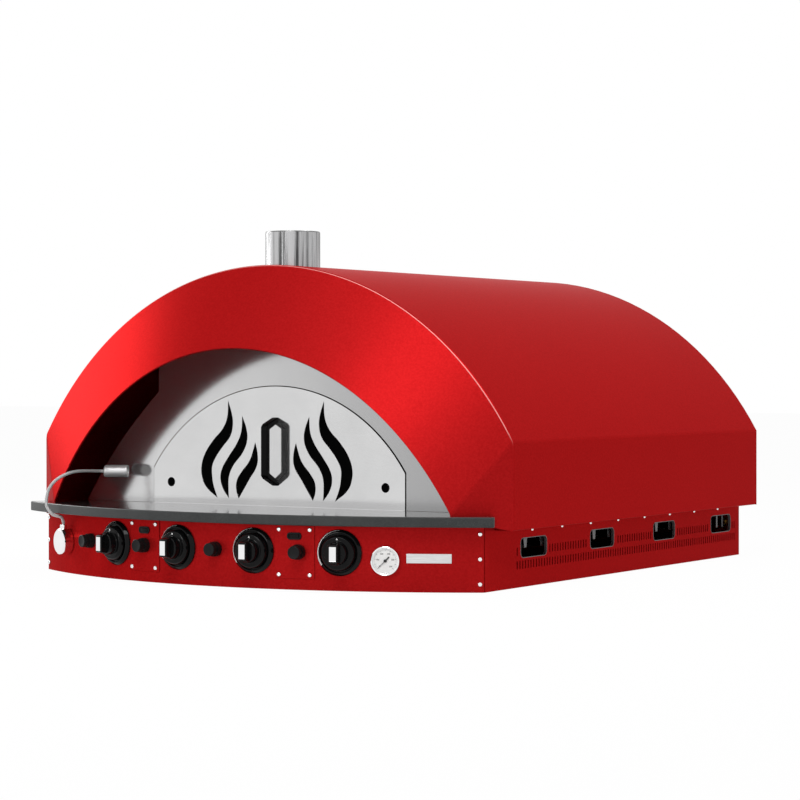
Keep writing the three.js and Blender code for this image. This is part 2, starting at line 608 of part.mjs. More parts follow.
// ---------------------------------------------------------------- gas train
function addGasTrain() {
  const pipeR = BOW_R - PIPE_INSET;
  const route = [];
  for (let arc = KNOB_ARC - 20; arc <= GAUGE_ARC - 20; arc += 60) {
    const [x, y] = onBow(pipeR, arc / BOW_R);
    route.push(new THREE.Vector3(x, y, CONTROL_Z));
  }
  const [bendX, bendY] = onBow(pipeR, GAUGE_ARC / BOW_R);
  route.push(new THREE.Vector3(bendX, bendY, CONTROL_Z));
  route.push(new THREE.Vector3((bendX + INLET.x) / 2 + 40, bendY + 60, CONTROL_Z));
  route.push(new THREE.Vector3(INLET.x, bendY + 180, INLET.z));
  route.push(new THREE.Vector3(INLET.x, BASE_DEPTH / 2, INLET.z));
  route.push(new THREE.Vector3(INLET.x, BASE_DEPTH + 14, INLET.z));
  const section = new THREE.Shape();
  section.absarc(0, 0, PIPE_R, 0, 2 * Math.PI, false);
  const pipe = new THREE.ExtrudeGeometry(section, {
    extrudePath: new THREE.CatmullRomCurve3(route), steps: 40, curveSegments: 4, bevelEnabled: false });

  const bodies = [];
  const bores = [];
  const rod = (r, out0, out1, steps) => turned([[0, out0], [r, out0], [r, out1], [0, out1]], steps);
  for (let i = 0; i < CONTROL_COUNT; i += 1) {
    const arc = KNOB_ARC + i * KNOB_PITCH;
    bodies.push(atStation(rod(TAP_R, -PIPE_INSET - TAP_R, -STEM_IN + 6, 16), arc, CONTROL_Z));
    bodies.push(atStation(rod(4, -BURNER_START - 12, -PIPE_INSET, 12), arc, CONTROL_Z));
    bores.push(atStation(rod(STEM_R + GAP, -STEM_IN - 5, -STEM_IN + 10, 20), arc, CONTROL_Z));
  }
  const nut = new THREE.CylinderGeometry(INLET.hole + 4, INLET.hole + 4, 16, 6)
    .translate(INLET.x, BASE_DEPTH + GAP + 8, INLET.z);
  let solid = toSolid(pipe).add(toSolid(nut));
  for (const body of bodies) solid = solid.add(toSolid(body));
  for (const bore of bores) solid = solid.subtract(toSolid(bore));
  add('gas_manifold', toGeometry(solid), brass);

  for (let i = 0; i < CONTROL_COUNT; i += 1) {
    const [x, y] = onBow(BOW_R - BURNER_START, (KNOB_ARC + i * KNOB_PITCH) / BOW_R);
    const inner = BURNER_R - BURNER_WALL;
    const length = BURNER_END - y;
    const tube = turned([
      [inner, -length + BURNER_WALL], [0, -length + BURNER_WALL], [0, -length], [BURNER_R, -length],
      [BURNER_R, 0], [inner, 0], [inner, -length + BURNER_WALL]], 16);
    add(`burner_${i + 1}`, tube.translate(x, y, RAIL_HEIGHT + GAP + BURNER_R), steel);
  }
}

// ---------------------------------------------------------------- controls
function addKnobs() {
  for (let i = 0; i < CONTROL_COUNT; i += 1) {
    const place = station(KNOB_ARC + i * KNOB_PITCH, CONTROL_Z);
    const well = KNOB_R + 2.5;
    add(`knob_bezel_${i + 1}`, turned([
      [STEM_R + 2, GAP], [BEZEL_R, GAP], [BEZEL_R, BEZEL_RIM - 2], [BEZEL_R - 2, BEZEL_RIM],
      [well, BEZEL_RIM], [well, BEZEL_FLOOR], [STEM_R + 2, BEZEL_FLOOR], [STEM_R + 2, GAP]]), black, place);

    const socket = KNOB_BACK + SOCKET_DEPTH;
    add(`tap_stem_${i + 1}`, turned([
      [0, -STEM_IN], [STEM_R, -STEM_IN], [STEM_R, socket - GAP], [0, socket - GAP]], 20), brass, place);

    // stepped knob: a shallow skirt, a round hub and a bar to turn it by
    const hub = turned([
      [0, socket], [STEM_R + GAP, socket], [STEM_R + GAP, KNOB_BACK], [KNOB_R, KNOB_BACK],
      [KNOB_R, KNOB_BACK + 3], [KNOB_R - 4, KNOB_SKIRT], [HUB_R + 1, KNOB_SKIRT], [HUB_R - 1, HUB_OUT],
      [0, HUB_OUT]]);
    const outline = roundedRect(GRIP_WIDTH, GRIP_LENGTH, 4);
    const grip = upright(outline, -GRIP_OUT, GRIP_OUT - HUB_OUT + 2, 4);
    add(`knob_${i + 1}`, joined(hub, grip), black, place);
  }
}

function addIgniters() {
  for (let i = 0; i < CONTROL_COUNT; i += 1) {
    const onPlate = i % 2 === 1;
    const seat = onPlate ? PLATE_THICK + 2 * GAP + 0.4 : GAP;
    const place = station(IGNITER_ARC + i * IGNITER_PITCH, CONTROL_Z);
    const well = seat + 2.5;
    const rim = seat + COLLAR_OUT;
    add(`igniter_body_${i + 1}`, turned([
      [0, -34], [SHANK_R, -34], [SHANK_R, seat], [COLLAR_R, seat], [COLLAR_R, rim],
      [BUTTON_R + GAP, rim], [BUTTON_R + GAP, well], [PLUNGER_R + GAP, well],
      [PLUNGER_R + GAP, -20], [0, -20]], 24), black, place);
    const back = well + 6;
    const front = seat + BUTTON_OUT;
    add(`igniter_button_${i + 1}`, turned([
      [0, -12], [PLUNGER_R, -12], [PLUNGER_R, back], [BUTTON_R, back], [BUTTON_R, front - 1.5],
      [BUTTON_R - 1.5, front], [0, front]], 24), black, place);
  }
}

function addSwitches() {
  PLATE_ARCS.forEach((arc, i) => {
    const [low, high] = [CONTROL_Z - PLATE_HEIGHT / 2, CONTROL_Z + PLATE_HEIGHT / 2 - 1];
    const sheet = raised(bowStrip(BOW_R + GAP, BOW_R + GAP + PLATE_THICK,
      arc - PLATE_WIDTH / 2, arc + PLATE_WIDTH / 2), low, high - low, 8);
    const igniter = IGNITER_ARC + (2 * i + 1) * IGNITER_PITCH;
    const hole = new THREE.CylinderGeometry(SHANK_R + GAP, SHANK_R + GAP, 12, 20);
    const round = atStation(hole, igniter, CONTROL_Z);
    const slot = atStation(new THREE.BoxGeometry(SWITCH_WIDTH - 3, 12, SWITCH_HEIGHT - 3), arc, SWITCH_Z);
    add(`service_plate_${i + 1}`, cut(sheet, round, slot), paint);

    const place = station(arc, SWITCH_Z);
    const seat = PLATE_THICK + 2 * GAP;
    const outline = roundedRect(SWITCH_WIDTH, SWITCH_HEIGHT, SWITCH_HEIGHT / 2 - 0.5);
    const flange = upright(outline, -seat - 2, 2, 4);
    const shell = block(-SWITCH_WIDTH / 2 + 2, SWITCH_WIDTH / 2 - 2, -seat - 1, 22,
      -SWITCH_HEIGHT / 2 + 2, SWITCH_HEIGHT / 2 - 2);
    const well = block(-SWITCH_WIDTH / 2 + 3.5, SWITCH_WIDTH / 2 - 3.5, -seat - 5, 12,
      -SWITCH_HEIGHT / 2 + 3, SWITCH_HEIGHT / 2 - 3);
    const frame = toSolid(flange).add(toSolid(shell)).subtract(toSolid(well));
    add(`switch_frame_${i + 1}`, toGeometry(frame), black, place);

    // the rocker pivots on its own axis 3 mm below the flange; its face is a shallow V
    const half = SWITCH_WIDTH / 2 - 5;
    const rocker = new THREE.Shape();
    rocker.moveTo(-half, 6 - seat);
    rocker.quadraticCurveTo(0, 14 - seat, half, 6 - seat);
    rocker.lineTo(half, -seat - 2);
    rocker.lineTo(0, -seat - 3.6);
    rocker.lineTo(-half, -seat - 2);
    const width = SWITCH_HEIGHT - 6 - 2 * GAP;
    const paddle = extrude(rocker, width, 6).translate(0, 0, -width / 2);
    add(`switch_rocker_${i + 1}`, paddle, black, place);
  });
}

function addGauge() {
  const place = station(GAUGE_ARC, GAUGE_Z);
  add('gauge_case', turned([
    [0, -70], [STEM_R, -70], [STEM_R, GAP], [GAUGE_R - 2, GAP], [GAUGE_R, 2], [GAUGE_R, GAUGE_OUT - 1],
    [GAUGE_R - 2, GAUGE_OUT], [GAUGE_R - 3.5, GAUGE_OUT], [GAUGE_R - 3.5, 3], [0, 3]]), steel, place);
  add('gauge_dial', turned([
    [0, 3 + GAP], [GAUGE_R - 4, 3 + GAP], [GAUGE_R - 4, 4], [0, 4]]), white, place);
  const needle = block(-0.8, 0.8, -5.5, -4.3, 3 - GAUGE_R + 5, 12);
  const hub = turned([[0, 4 + GAP], [3, 4 + GAP], [3, 6.2], [0, 6.2]], 16);
  const pointer = add('gauge_pointer', joined(hub, needle), black, place);
  pointer.rotation.y = Math.PI / 4;
}

function addNamePlate() {
  const half = PLATE_NAME_WIDTH / 2;
  const strip = bowStrip(BOW_R + GAP, BOW_R + GAP + 1, PLATE_NAME_ARC - half, PLATE_NAME_ARC + half);
  add('name_plate', raised(strip, PLATE_NAME_Z - PLATE_NAME_HEIGHT / 2, PLATE_NAME_HEIGHT, 8), steel);
}

// ---------------------------------------------------------------- lamp
function addLamp() {
  const angle = LAMP_ARC / BOW_R;
  const [stubX, stubY] = onBow(BOW_R + LAMP_BASE_OUT / 2, angle);
  const stubFoot = LAMP_Z + LAMP_BASE_R - 6;
  const stubTop = LAMP_Z + LAMP_BASE_R + 8;
  const puck = atStation(turned([
    [0, GAP], [LAMP_BASE_R, GAP], [LAMP_BASE_R, LAMP_BASE_OUT - 2], [LAMP_BASE_R - 2, LAMP_BASE_OUT],
    [0, LAMP_BASE_OUT]]), LAMP_ARC, LAMP_Z);
  const post = (r, z0, z1, steps) => standing([[0, z0], [r, z0], [r, z1], [0, z1]], steps)
    .translate(stubX, stubY, 0);
  const socket = post(LAMP_STUB_R + 2, stubFoot, stubTop, 24);
  const bore = post(LAMP_STUB_R, stubTop - 10, stubTop + 5, 24);
  const base = toSolid(puck).add(toSolid(socket)).subtract(toSolid(bore));
  add('lamp_base', toGeometry(base), white);

  // the neck leaves its socket upright, swings out past the shelf's edge and arches back to the
  // oven's mouth; its points are placed from the middle of the socket's top
  const headBack = new THREE.Vector3(stubX + NECK_REACH.x, stubY + NECK_REACH.y, stubTop + NECK_REACH.z);
  const headDirection = new THREE.Vector3(2, 1, 0).normalize();
  const fromStub = ([x, y, z]) => new THREE.Vector3(stubX + x, stubY + y, stubTop + z);
  const route = [[0, 0, -9], [0, 0, 5], ...NECK_PATH].map(fromStub);
  for (const along of [-14, -7, 0, 6]) route.push(headBack.clone().addScaledVector(headDirection, along));
  const section = new THREE.Shape();
  section.absarc(0, 0, NECK_R, 0, 2 * Math.PI, false);
  const tube = new THREE.ExtrudeGeometry(section, {
    extrudePath: new THREE.CatmullRomCurve3(route), steps: 48, curveSegments: 4, bevelEnabled: false });
  const plug = post(LAMP_STUB_R - GAP, stubTop - 9.7, stubTop + 2, 20);
  add('lamp_neck', joined(tube, plug), white);

  const head = turned([
    [0, 8], [NECK_R + 0.5, 8], [NECK_R + 0.5, 0], [HEAD_R, 0], [HEAD_R, HEAD_LENGTH],
    [HEAD_R - 2, HEAD_LENGTH], [HEAD_R - 3, HEAD_LENGTH - 6], [0, HEAD_LENGTH - 6]], 28);
  const mesh = add('lamp_head', head, steel);
  mesh.position.copy(headBack);
  mesh.quaternion.setFromUnitVectors(new THREE.Vector3(0, -1, 0), headDirection);
}

addBase();
addControlPanel();
addShelf();
addHood();
addVisor();
addFascia();
addChamber();
addFlue();
addDoor();
addGasTrain();
addKnobs();
addIgniters();
addSwitches();
addGauge();
addNamePlate();
addLamp();

export default oven;
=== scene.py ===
"""Countertop gas pizza oven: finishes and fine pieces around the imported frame. Metres."""
import json
import math

import bmesh
import bpy
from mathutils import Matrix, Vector


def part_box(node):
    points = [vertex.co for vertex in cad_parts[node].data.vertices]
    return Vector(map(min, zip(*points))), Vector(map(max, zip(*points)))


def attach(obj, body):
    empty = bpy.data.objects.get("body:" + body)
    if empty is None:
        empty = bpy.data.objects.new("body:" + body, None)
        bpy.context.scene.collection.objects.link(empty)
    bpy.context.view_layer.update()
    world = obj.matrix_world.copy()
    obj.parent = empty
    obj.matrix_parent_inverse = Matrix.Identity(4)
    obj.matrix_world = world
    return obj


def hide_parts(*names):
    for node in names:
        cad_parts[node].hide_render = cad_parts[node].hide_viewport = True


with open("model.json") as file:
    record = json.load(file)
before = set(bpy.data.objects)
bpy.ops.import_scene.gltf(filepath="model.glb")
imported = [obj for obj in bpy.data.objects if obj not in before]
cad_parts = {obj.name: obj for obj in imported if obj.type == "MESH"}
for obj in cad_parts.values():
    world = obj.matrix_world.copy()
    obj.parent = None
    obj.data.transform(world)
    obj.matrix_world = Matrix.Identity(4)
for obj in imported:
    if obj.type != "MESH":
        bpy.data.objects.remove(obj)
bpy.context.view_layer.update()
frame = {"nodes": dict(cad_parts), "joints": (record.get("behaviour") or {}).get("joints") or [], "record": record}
nodes = frame["nodes"]
record = frame["record"]
joints = {joint["name"]: joint for joint in frame["joints"]}
SLOTS = {part["node"]: part["material_slot"] for part in record["subparts"]}

MM = 0.001


def low(node):
    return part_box(node)[0]


def high(node):
    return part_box(node)[1]


# ------------------------------------------------------------------ sizes read from the frame
HOOD_HALF = high("hood_shell").x
HOOD_FOOT = low("hood_shell").z
HOOD_CREST = high("hood_shell").z
HOOD_BACK = low("hood_rear_panel").y
HOOD_REAR = high("hood_rear_panel").y
RIM_Y = high("hood_visor").y - 3.7 * MM
BASE_HALF = high("base_right_panel").x
BASE_TOP = high("control_panel").z
BASE_FRONT = low("control_panel").y
BASE_REAR = high("base_rear_panel").y
SHEET = BASE_HALF - low("base_right_panel").x
BOW_RISE = -BASE_FRONT
BOW_R = (BASE_HALF ** 2 + BOW_RISE ** 2) / (2 * BOW_RISE)
BOW_Y = BOW_R - BOW_RISE
SLAB_TOP = high("shelf_slab").z
DOOR_Y = high("door_panel").y - 3 * MM
DOOR_HALF = high("door_panel").x
DOOR_FOOT = low("door_panel").z
DOOR_CREST = high("door_panel").z
FLUE_R = (high("flue_stub").x - low("flue_stub").x) / 2
FLUE_Y = (high("flue_stub").y + low("flue_stub").y) / 2
FLUE_TOP = high("flue_stub").z
CUT_REACH = 0.02                   # how far a cutter stands past the sheet it cuts

# sizes of the hood's arch that no box corner gives
SHOULDER = 0.288
ARCH_SPREAD = 0.6827
MOUTH_HALF = 0.490
MOUTH_FOOT = 0.148
MOUTH_CREST = 0.471
MOUTH_Y = -0.042
MOUTH_CREST_Y = -0.077
VISOR_FOOT = 0.140
DOOR_SIDE = 0.220
DOOR_LIP = 0.006
DOOR_HOLE_X = 0.268
DOOR_HOLE_Z = 0.191
DOOR_HOLE_R = 0.0098

VENT_FIRST = 0.196
VENT_LAST = 1.076
VENT_WIDTH = 0.107
VENT_HEIGHT = 0.039
VENT_Z = 0.077
SLOT_COUNT = 93
SLOT_FIRST = 0.129
SLOT_LAST = 1.150
SLOT_ROWS = (0.0440, 0.0705)
SEAT = 0.0003                      # what is screwed on stands this far off its sheet
GAUGE_R = 0.0285
LAMP_R = 0.0275
NECK_PATH = ((3, -11, 16), (-6, -27, 22), (-15, -31, 33), (-22, -29, 45), (-23, -25, 63),
             (-20, -19, 79), (-12, -6, 95), (2, 10, 106), (11, 37, 111))
NECK_REACH = (36, 93, 110)
NECK_COIL = 0.0012
DIAL_START = math.radians(225)
DIAL_SWEEP = math.radians(270)
DIAL_STEPS = 50
NEAR = 1e-4                        # how close to a plane a vertex counts as on it

CONTROL_Z = joints["knob_turn_1"]["pos_m"][2]
KNOBS = (1, 2, 3, 4)


def bow_angle(x):
    return math.asin(x / BOW_R)


def on_bow(angle, out=0.0):
    """A point on the curved front at an angle from its middle, out from its face."""
    radius = BOW_R + out
    return Vector((radius * math.sin(angle), BOW_Y - radius * math.cos(angle), 0))


def joint_angle(name):
    """The angle round the bow of a control, from its joint's place."""
    x, y, _ = joints[name]["pos_m"]
    return math.atan2(x, BOW_Y - y)


# ------------------------------------------------------------------ shader maths
class Wire:
    """A shader socket that can be added, multiplied and mixed like a number."""

    def __init__(self, tree, socket):
        self.tree = tree
        self.socket = socket

    def node(self, kind, settings=None, **inputs):
        made = self.tree.nodes.new(kind)
        for key, value in (settings or {}).items():
            setattr(made, key, value)
        for key, value in inputs.items():
            port = made.inputs[int(key[1:])] if key[1:].isdigit() else made.inputs[key.replace("_", " ")]
            if isinstance(value, Wire):
                self.tree.links.new(value.socket, port)
            else:
                port.default_value = value
        return made

    def maths(self, operation, *values):
        made = self.node("ShaderNodeMath", {"operation": operation},
                         **{f"i{i}": value for i, value in enumerate(values)})
        return Wire(self.tree, made.outputs[0])

    def __add__(self, other):
        return self.maths("ADD", self, other)

    def __radd__(self, other):
        return self.maths("ADD", other, self)

    def __sub__(self, other):
        return self.maths("SUBTRACT", self, other)

    def __rsub__(self, other):
        return self.maths("SUBTRACT", other, self)

    def __mul__(self, other):
        return self.maths("MULTIPLY", self, other)

    def __rmul__(self, other):
        return self.maths("MULTIPLY", other, self)

    def clamp(self):
        return self.maths("MAXIMUM", self.maths("MINIMUM", self, 1.0), 0.0)

    def step(self, start, end):
        """0 below start, 1 above end, smooth between them."""
        made = self.node("ShaderNodeMapRange", {"interpolation_type": "SMOOTHSTEP"},
                         i0=self, i1=start, i2=end)
        return Wire(self.tree, made.outputs[0])

    def tint(self, first, second):
        """This value mixes two colours."""
        made = self.node("ShaderNodeMix", {"data_type": "RGBA"}, Factor=self)
        for place, colour in ((6, first), (7, second)):
            if isinstance(colour, Wire):
                self.tree.links.new(colour.socket, made.inputs[place])
            else:
                made.inputs[place].default_value = (*colour, 1.0)
        return Wire(self.tree, made.outputs[2])


class Finish:
    """One material: a Principled shader with wires to its object coordinates."""

    def __init__(self, name, **constants):
        self.material = bpy.data.materials.new(name)
        self.material.use_nodes = True
        self.tree = self.material.node_tree
        self.shader = self.tree.nodes["Principled BSDF"]
        self.output = self.tree.nodes["Material Output"]
        for key, value in constants.items():
            port = self.shader.inputs[key.replace("_", " ")]
            port.default_value = (*value, 1.0) if isinstance(value, tuple) else value
        coords = self.tree.nodes.new("ShaderNodeTexCoord")
        self.place = Wire(self.tree, coords.outputs["Object"])

    def stretched(self, scale):
        made = self.place.node("ShaderNodeMapping", Vector=self.place, Scale=scale)
        return Wire(self.tree, made.outputs[0])

    def noise(self, scale, detail=2.0, roughness=0.5, source=None):
        made = self.place.node("ShaderNodeTexNoise", Vector=source or self.place, Scale=scale,
                               Detail=detail, Roughness=roughness)
        return Wire(self.tree, made.outputs["Fac" if "Fac" in made.outputs else 0])

    def cells(self, scale):
        made = self.place.node("ShaderNodeTexVoronoi", Vector=self.place, Scale=scale)
        return Wire(self.tree, made.outputs["Distance"])

    def part(self, axis):
        made = self.place.node("ShaderNodeSeparateXYZ", Vector=self.place)
        return Wire(self.tree, made.outputs[axis])

    def set(self, socket, value):
        self.tree.links.new(value.socket, self.shader.inputs[socket])
        return self

    def bump(self, height, distance, strength=1.0):
        made = self.place.node("ShaderNodeBump", Height=height, Distance=distance,
                               Strength=strength)
        self.tree.links.new(made.outputs[0], self.shader.inputs["Normal"])
        return self


# ------------------------------------------------------------------ finishes
def red_powder_coat():
    """Fine-textured satin red: a tight orange peel, a faint mottle and a painted highlight along the rim crease.
    """
    f = Finish("red_powder_coat", IOR=1.05, Metallic=0.38, Specular_Tint=(0.80, 0.10, 0.10))
    peel = f.noise(620, 2.0, 0.55)
    mottle = f.noise(230, 3.0, 0.7)
    broad = f.noise(3.5, 2.0, 0.5)
    shade = (mottle.step(0.3, 0.7) * 0.75 + broad * 0.25).clamp()
    red = shade.tint((0.330, 0.0060, 0.0068), (0.425, 0.0105, 0.0115))
    # painted highlight: a thin paler band at the rim crease above the shoulders, where the fold catches light
    across = f.part("Y")
    rim_start = across.step(RIM_Y - 0.0017, RIM_Y - 0.0009)
    rim_end = across.step(RIM_Y - 0.0002, RIM_Y + 0.0005)
    painted_crease_highlight = rim_start * (1.0 - rim_end)
    painted_crease_highlight = painted_crease_highlight * f.part("Z").step(SHOULDER - 0.01, SHOULDER + 0.03)
    f.set("Base Color", (painted_crease_highlight * 0.8).tint(red, (0.86, 0.36, 0.34)))
    f.set("Roughness", peel * 0.14 + 0.30)
    f.bump(peel * 0.7 + mottle * 0.3, 0.00035, 0.30)
    return f.material


def satin_stainless():
    """Fine horizontal polish on the door and the fascia, with a faint cloudy handling mark, and painted light and
    shade: pale at the left, falling to dark grey towards the right.
    """
    f = Finish("satin_stainless", Metallic=0.92)
    lines = f.noise(1.0, 2.0, 0.6, f.stretched((30, 30, 2600)))
    cloud = f.noise(9, 3.0, 0.55)
    shade = (lines * 0.35 + cloud * 0.65).step(0.25, 0.75)
    # painted light and shade: the colour goes from pale at the left to dark grey at the right
    across = f.part("X").step(-0.45, 0.50)
    pale = shade.tint((0.66, 0.66, 0.663), (0.74, 0.74, 0.74))
    f.set("Base Color", across.tint(pale, (0.40, 0.40, 0.402)))
    f.set("Roughness", lines * 0.04 + cloud * 0.05 + 0.10)
    f.bump(lines, 0.00004, 0.25)
    return f.material


def brushed_stainless():
    """Coarser brushing round the flue and the small steel fittings."""
    f = Finish("brushed_stainless", Metallic=1.0)
    lines = f.noise(1.0, 3.0, 0.65, f.stretched((40, 40, 1500)))
    cloud = f.noise(22, 3.0, 0.6)
    f.set("Base Color", lines.step(0.3, 0.7).tint((0.60, 0.60, 0.60), (0.76, 0.76, 0.765)))
    f.set("Roughness", lines * 0.12 + cloud * 0.10 + 0.20)
    f.bump(lines, 0.00006, 0.4)
    return f.material


def galvanised_sheet():
    """Plain inner sheet and burner tubes: spangled, dull, and darkened far below bare galvanised steel as painted
    shade for the closed inside of the base.
    """
    f = Finish("galvanised_sheet", Metallic=0.85)
    spangle = f.cells(70)
    cloud = f.noise(12, 3.0, 0.6)
    shade = (spangle * 0.6 + cloud * 0.4).clamp()
    # painted shade: these very dark tones stand for the shade inside the base
    f.set("Base Color", shade.tint((0.055, 0.055, 0.057), (0.100, 0.100, 0.102)))
    f.set("Roughness", cloud * 0.25 + 0.38)
    return f.material


def black_heat_paint():
    """Satin black stove paint on the handle and the plate behind the cut-outs."""
    f = Finish("black_heat_paint", IOR=1.14)
    grain = f.noise(700, 2.0, 0.6)
    f.set("Base Color", grain.tint((0.003, 0.003, 0.003), (0.007, 0.007, 0.0073)))
    f.set("Roughness", grain * 0.12 + 0.18)
    f.bump(grain, 0.00012, 0.25)
    return f.material


def dark_stone():
    """Dark grey slab with fine paler grains; its top is polished and its edge is honed."""
    f = Finish("dark_stone", IOR=1.45)
    grains = f.noise(420, 4.0, 0.75)
    fleck = f.cells(520)
    cloud = f.noise(26, 4.0, 0.6)
    shade = (grains * 0.5 + cloud * 0.3 + (1.0 - fleck.step(0.10, 0.45)) * 0.3).step(0.25, 0.85)
    f.set("Base Color", shade.tint((0.010, 0.0115, 0.0115), (0.052, 0.057, 0.057)))
    top = f.part("Z").step(SLAB_TOP - 0.0006, SLAB_TOP - 0.0002)
    f.set("Roughness", (1.0 - top) * 0.34 + 0.05 + grains * 0.08)
    f.bump(grains * 0.6 + fleck * 0.4, 0.0004, 0.12)
    return f.material


def firebrick():
    """Pale refractory: pitted, sandy, a little scorched."""
    f = Finish("firebrick")
    sand = f.noise(260, 4.0, 0.75)
    pits = f.cells(140).step(0.05, 0.30)
    scorch = f.noise(6, 3.0, 0.6).step(0.45, 0.75)
    f.set("Base Color", (sand * 0.6 + scorch * 0.4).clamp().tint(
        (0.50, 0.37, 0.24), (0.24, 0.17, 0.12)))
    f.set("Roughness", sand * 0.1 + 0.85)
    f.bump(sand * 0.5 + pits * 0.5, 0.0012, 0.6)
    return f.material


def machined_brass():
    """Bright brass taps and union; the long pipe between them is painted nearly black, as painted shade inside the
    base.
    """
    f = Finish("machined_brass", Metallic=1.0)
    turn = f.noise(300, 2.0, 0.6)
    back = f.part("Y")
    # painted shade: the pipe inside the base is nearly black
    painted_shade_pipe = back.step(0.06, 0.08) * (1.0 - back.step(BASE_REAR - 0.012, BASE_REAR - 0.006))
    bright = turn.tint((0.52, 0.34, 0.11), (0.70, 0.50, 0.20))
    f.set("Base Color", painted_shade_pipe.tint(bright, (0.012, 0.010, 0.008)))
    f.set("Roughness", turn * 0.15 + 0.22)
    return f.material


def gloss_black():
    """Moulded, polished black knobs."""
    f = Finish("gloss_black", IOR=1.22)
    flow = f.noise(60, 2.0, 0.5)
    f.set("Base Color", flow.tint((0.0025, 0.0025, 0.0028), (0.0050, 0.0050, 0.0053)))
    f.set("Roughness", flow * 0.06 + 0.06)
    return f.material


def matt_black():
    """Finely textured black plastic."""
    f = Finish("matt_black", IOR=1.22)
    grain = f.noise(1500, 2.0, 0.6)
    f.set("Base Color", grain.tint((0.005, 0.005, 0.0053), (0.011, 0.011, 0.0115)))
    f.set("Roughness", grain * 0.12 + 0.34)
    f.bump(grain, 0.00006, 0.3)
    return f.material


def white_enamel():
    f = Finish("white_enamel", Coat_Weight=0.2)
    tone = f.noise(40, 2.0, 0.5)
    f.set("Base Color", tone.tint((0.92, 0.92, 0.91), (0.96, 0.96, 0.95)))
    f.set("Roughness", tone * 0.1 + 0.30)
    return f.material


def black_print():
    f = Finish("black_print")
    tone = f.noise(300, 2.0, 0.5)
    f.set("Base Color", tone.tint((0.01, 0.01, 0.01), (0.02, 0.02, 0.02)))
    f.set("Roughness", tone * 0.1 + 0.45)
    return f.material


def chrome_plate():
    f = Finish("chrome_plate", Metallic=1.0)
    haze = f.noise(50, 3.0, 0.6)
    f.set("Base Color", haze.tint((0.82, 0.82, 0.83), (0.90, 0.90, 0.90)))
    f.set("Roughness", haze * 0.08 + 0.04)
    return f.material


def pale_sleeve():
    """The lamp neck's sleeve: pale, smooth plastic over a wound spring."""
    f = Finish("pale_sleeve", Coat_Weight=0.1)
    tone = f.noise(90, 2.0, 0.5)
    f.set("Base Color", tone.tint((0.42, 0.42, 0.425), (0.56, 0.56, 0.56)))
    f.set("Roughness", tone * 0.1 + 0.35)
    return f.material


def turned_aluminium():
    f = Finish("turned_aluminium", Metallic=0.55)
    rings = f.noise(1.0, 2.0, 0.6, f.stretched((900, 900, 900)))
    f.set("Base Color", rings.tint((0.62, 0.62, 0.63), (0.80, 0.80, 0.80)))
    f.set("Roughness", rings * 0.12 + 0.34)
    return f.material


def painted_shade_black():
    """Dull near-black plate seen through the flames and the side openings: painted shade for the dark inside."""
    f = Finish("painted_shade_black", IOR=1.05)
    grain = f.noise(90, 3.0, 0.6)
    f.set("Base Color", grain.tint((0.0015, 0.0015, 0.0015), (0.0040, 0.0040, 0.0040)))
    f.set("Roughness", grain * 0.2 + 0.7)
    return f.material


def grey_trim():
    """Plain grey sheet of the opening trims."""
    f = Finish("grey_trim", Metallic=0.6)
    tone = f.noise(60, 3.0, 0.6)
    f.set("Base Color", tone.tint((0.11, 0.11, 0.112), (0.19, 0.19, 0.192)))
    f.set("Roughness", tone * 0.2 + 0.35)
    return f.material


def door_stainless():
    """The door's brighter polish."""
    f = Finish("door_stainless", Metallic=0.90)
    lines = f.noise(1.0, 2.0, 0.6, f.stretched((30, 30, 2600)))
    cloud = f.noise(7, 3.0, 0.55)
    shade = (lines * 0.3 + cloud * 0.7).step(0.25, 0.75)
    f.set("Base Color", shade.tint((0.64, 0.64, 0.643), (0.73, 0.73, 0.73)))
    f.set("Roughness", lines * 0.03 + cloud * 0.03 + 0.05)
    f.bump(lines, 0.00004, 0.25)
    return f.material


def rolled_stainless():
    """The flue: upright brushing, with soft dark and bright bands round the tube painted as reflections, and a
    darker top lip painted as shade.
    """
    f = Finish("rolled_stainless", Metallic=1.0)
    lines = f.noise(1.0, 3.0, 0.65, f.stretched((700, 700, 12)))
    painted_reflection_bands = f.noise(1.0, 2.0, 0.5, f.stretched((46, 46, 1.5)))
    steel = (lines * 0.25 + painted_reflection_bands * 0.75).step(0.42, 0.58).tint(
        (0.05, 0.05, 0.05), (0.50, 0.50, 0.505))
    # painted shade: the top lip is darker
    lip = f.part("Z").step(FLUE_TOP - 0.0030, FLUE_TOP - 0.0015)
    f.set("Base Color", lip.tint(steel, (0.16, 0.16, 0.16)))
    f.set("Roughness", lines * 0.12 + painted_reflection_bands * 0.10 + 0.16)
    f.bump(lines, 0.00006, 0.35)
    return f.material


RED = red_powder_coat()
STAINLESS = satin_stainless()
BRUSHED = brushed_stainless()
GALVANISED = galvanised_sheet()
STOVE_BLACK = black_heat_paint()
STONE = dark_stone()
BRICK = firebrick()
BRASS = machined_brass()
GLOSS_BLACK = gloss_black()
MATT_BLACK = matt_black()
ENAMEL = white_enamel()
PRINT = black_print()
CHROME = chrome_plate()
SLEEVE = pale_sleeve()
ALUMINIUM = turned_aluminium()
DOOR_STEEL = door_stainless()
PAINTED_SHADE_BLACK = painted_shade_black()
TRIM = grey_trim()
FLUE_STEEL = rolled_stainless()

SLOT_FINISH = {
    "red_paint": RED, "galvanised_steel": GALVANISED, "satin_stainless": STAINLESS,
    "brushed_stainless": BRUSHED, "black_heat_paint": STOVE_BLACK, "dark_stone": STONE,
    "firebrick": BRICK, "brass": BRASS, "gloss_black_plastic": GLOSS_BLACK, "black_plastic": MATT_BLACK,
    "white_enamel": ENAMEL, "chrome": CHROME, "white_sleeve": SLEEVE, "lamp_aluminium": ALUMINIUM,
}


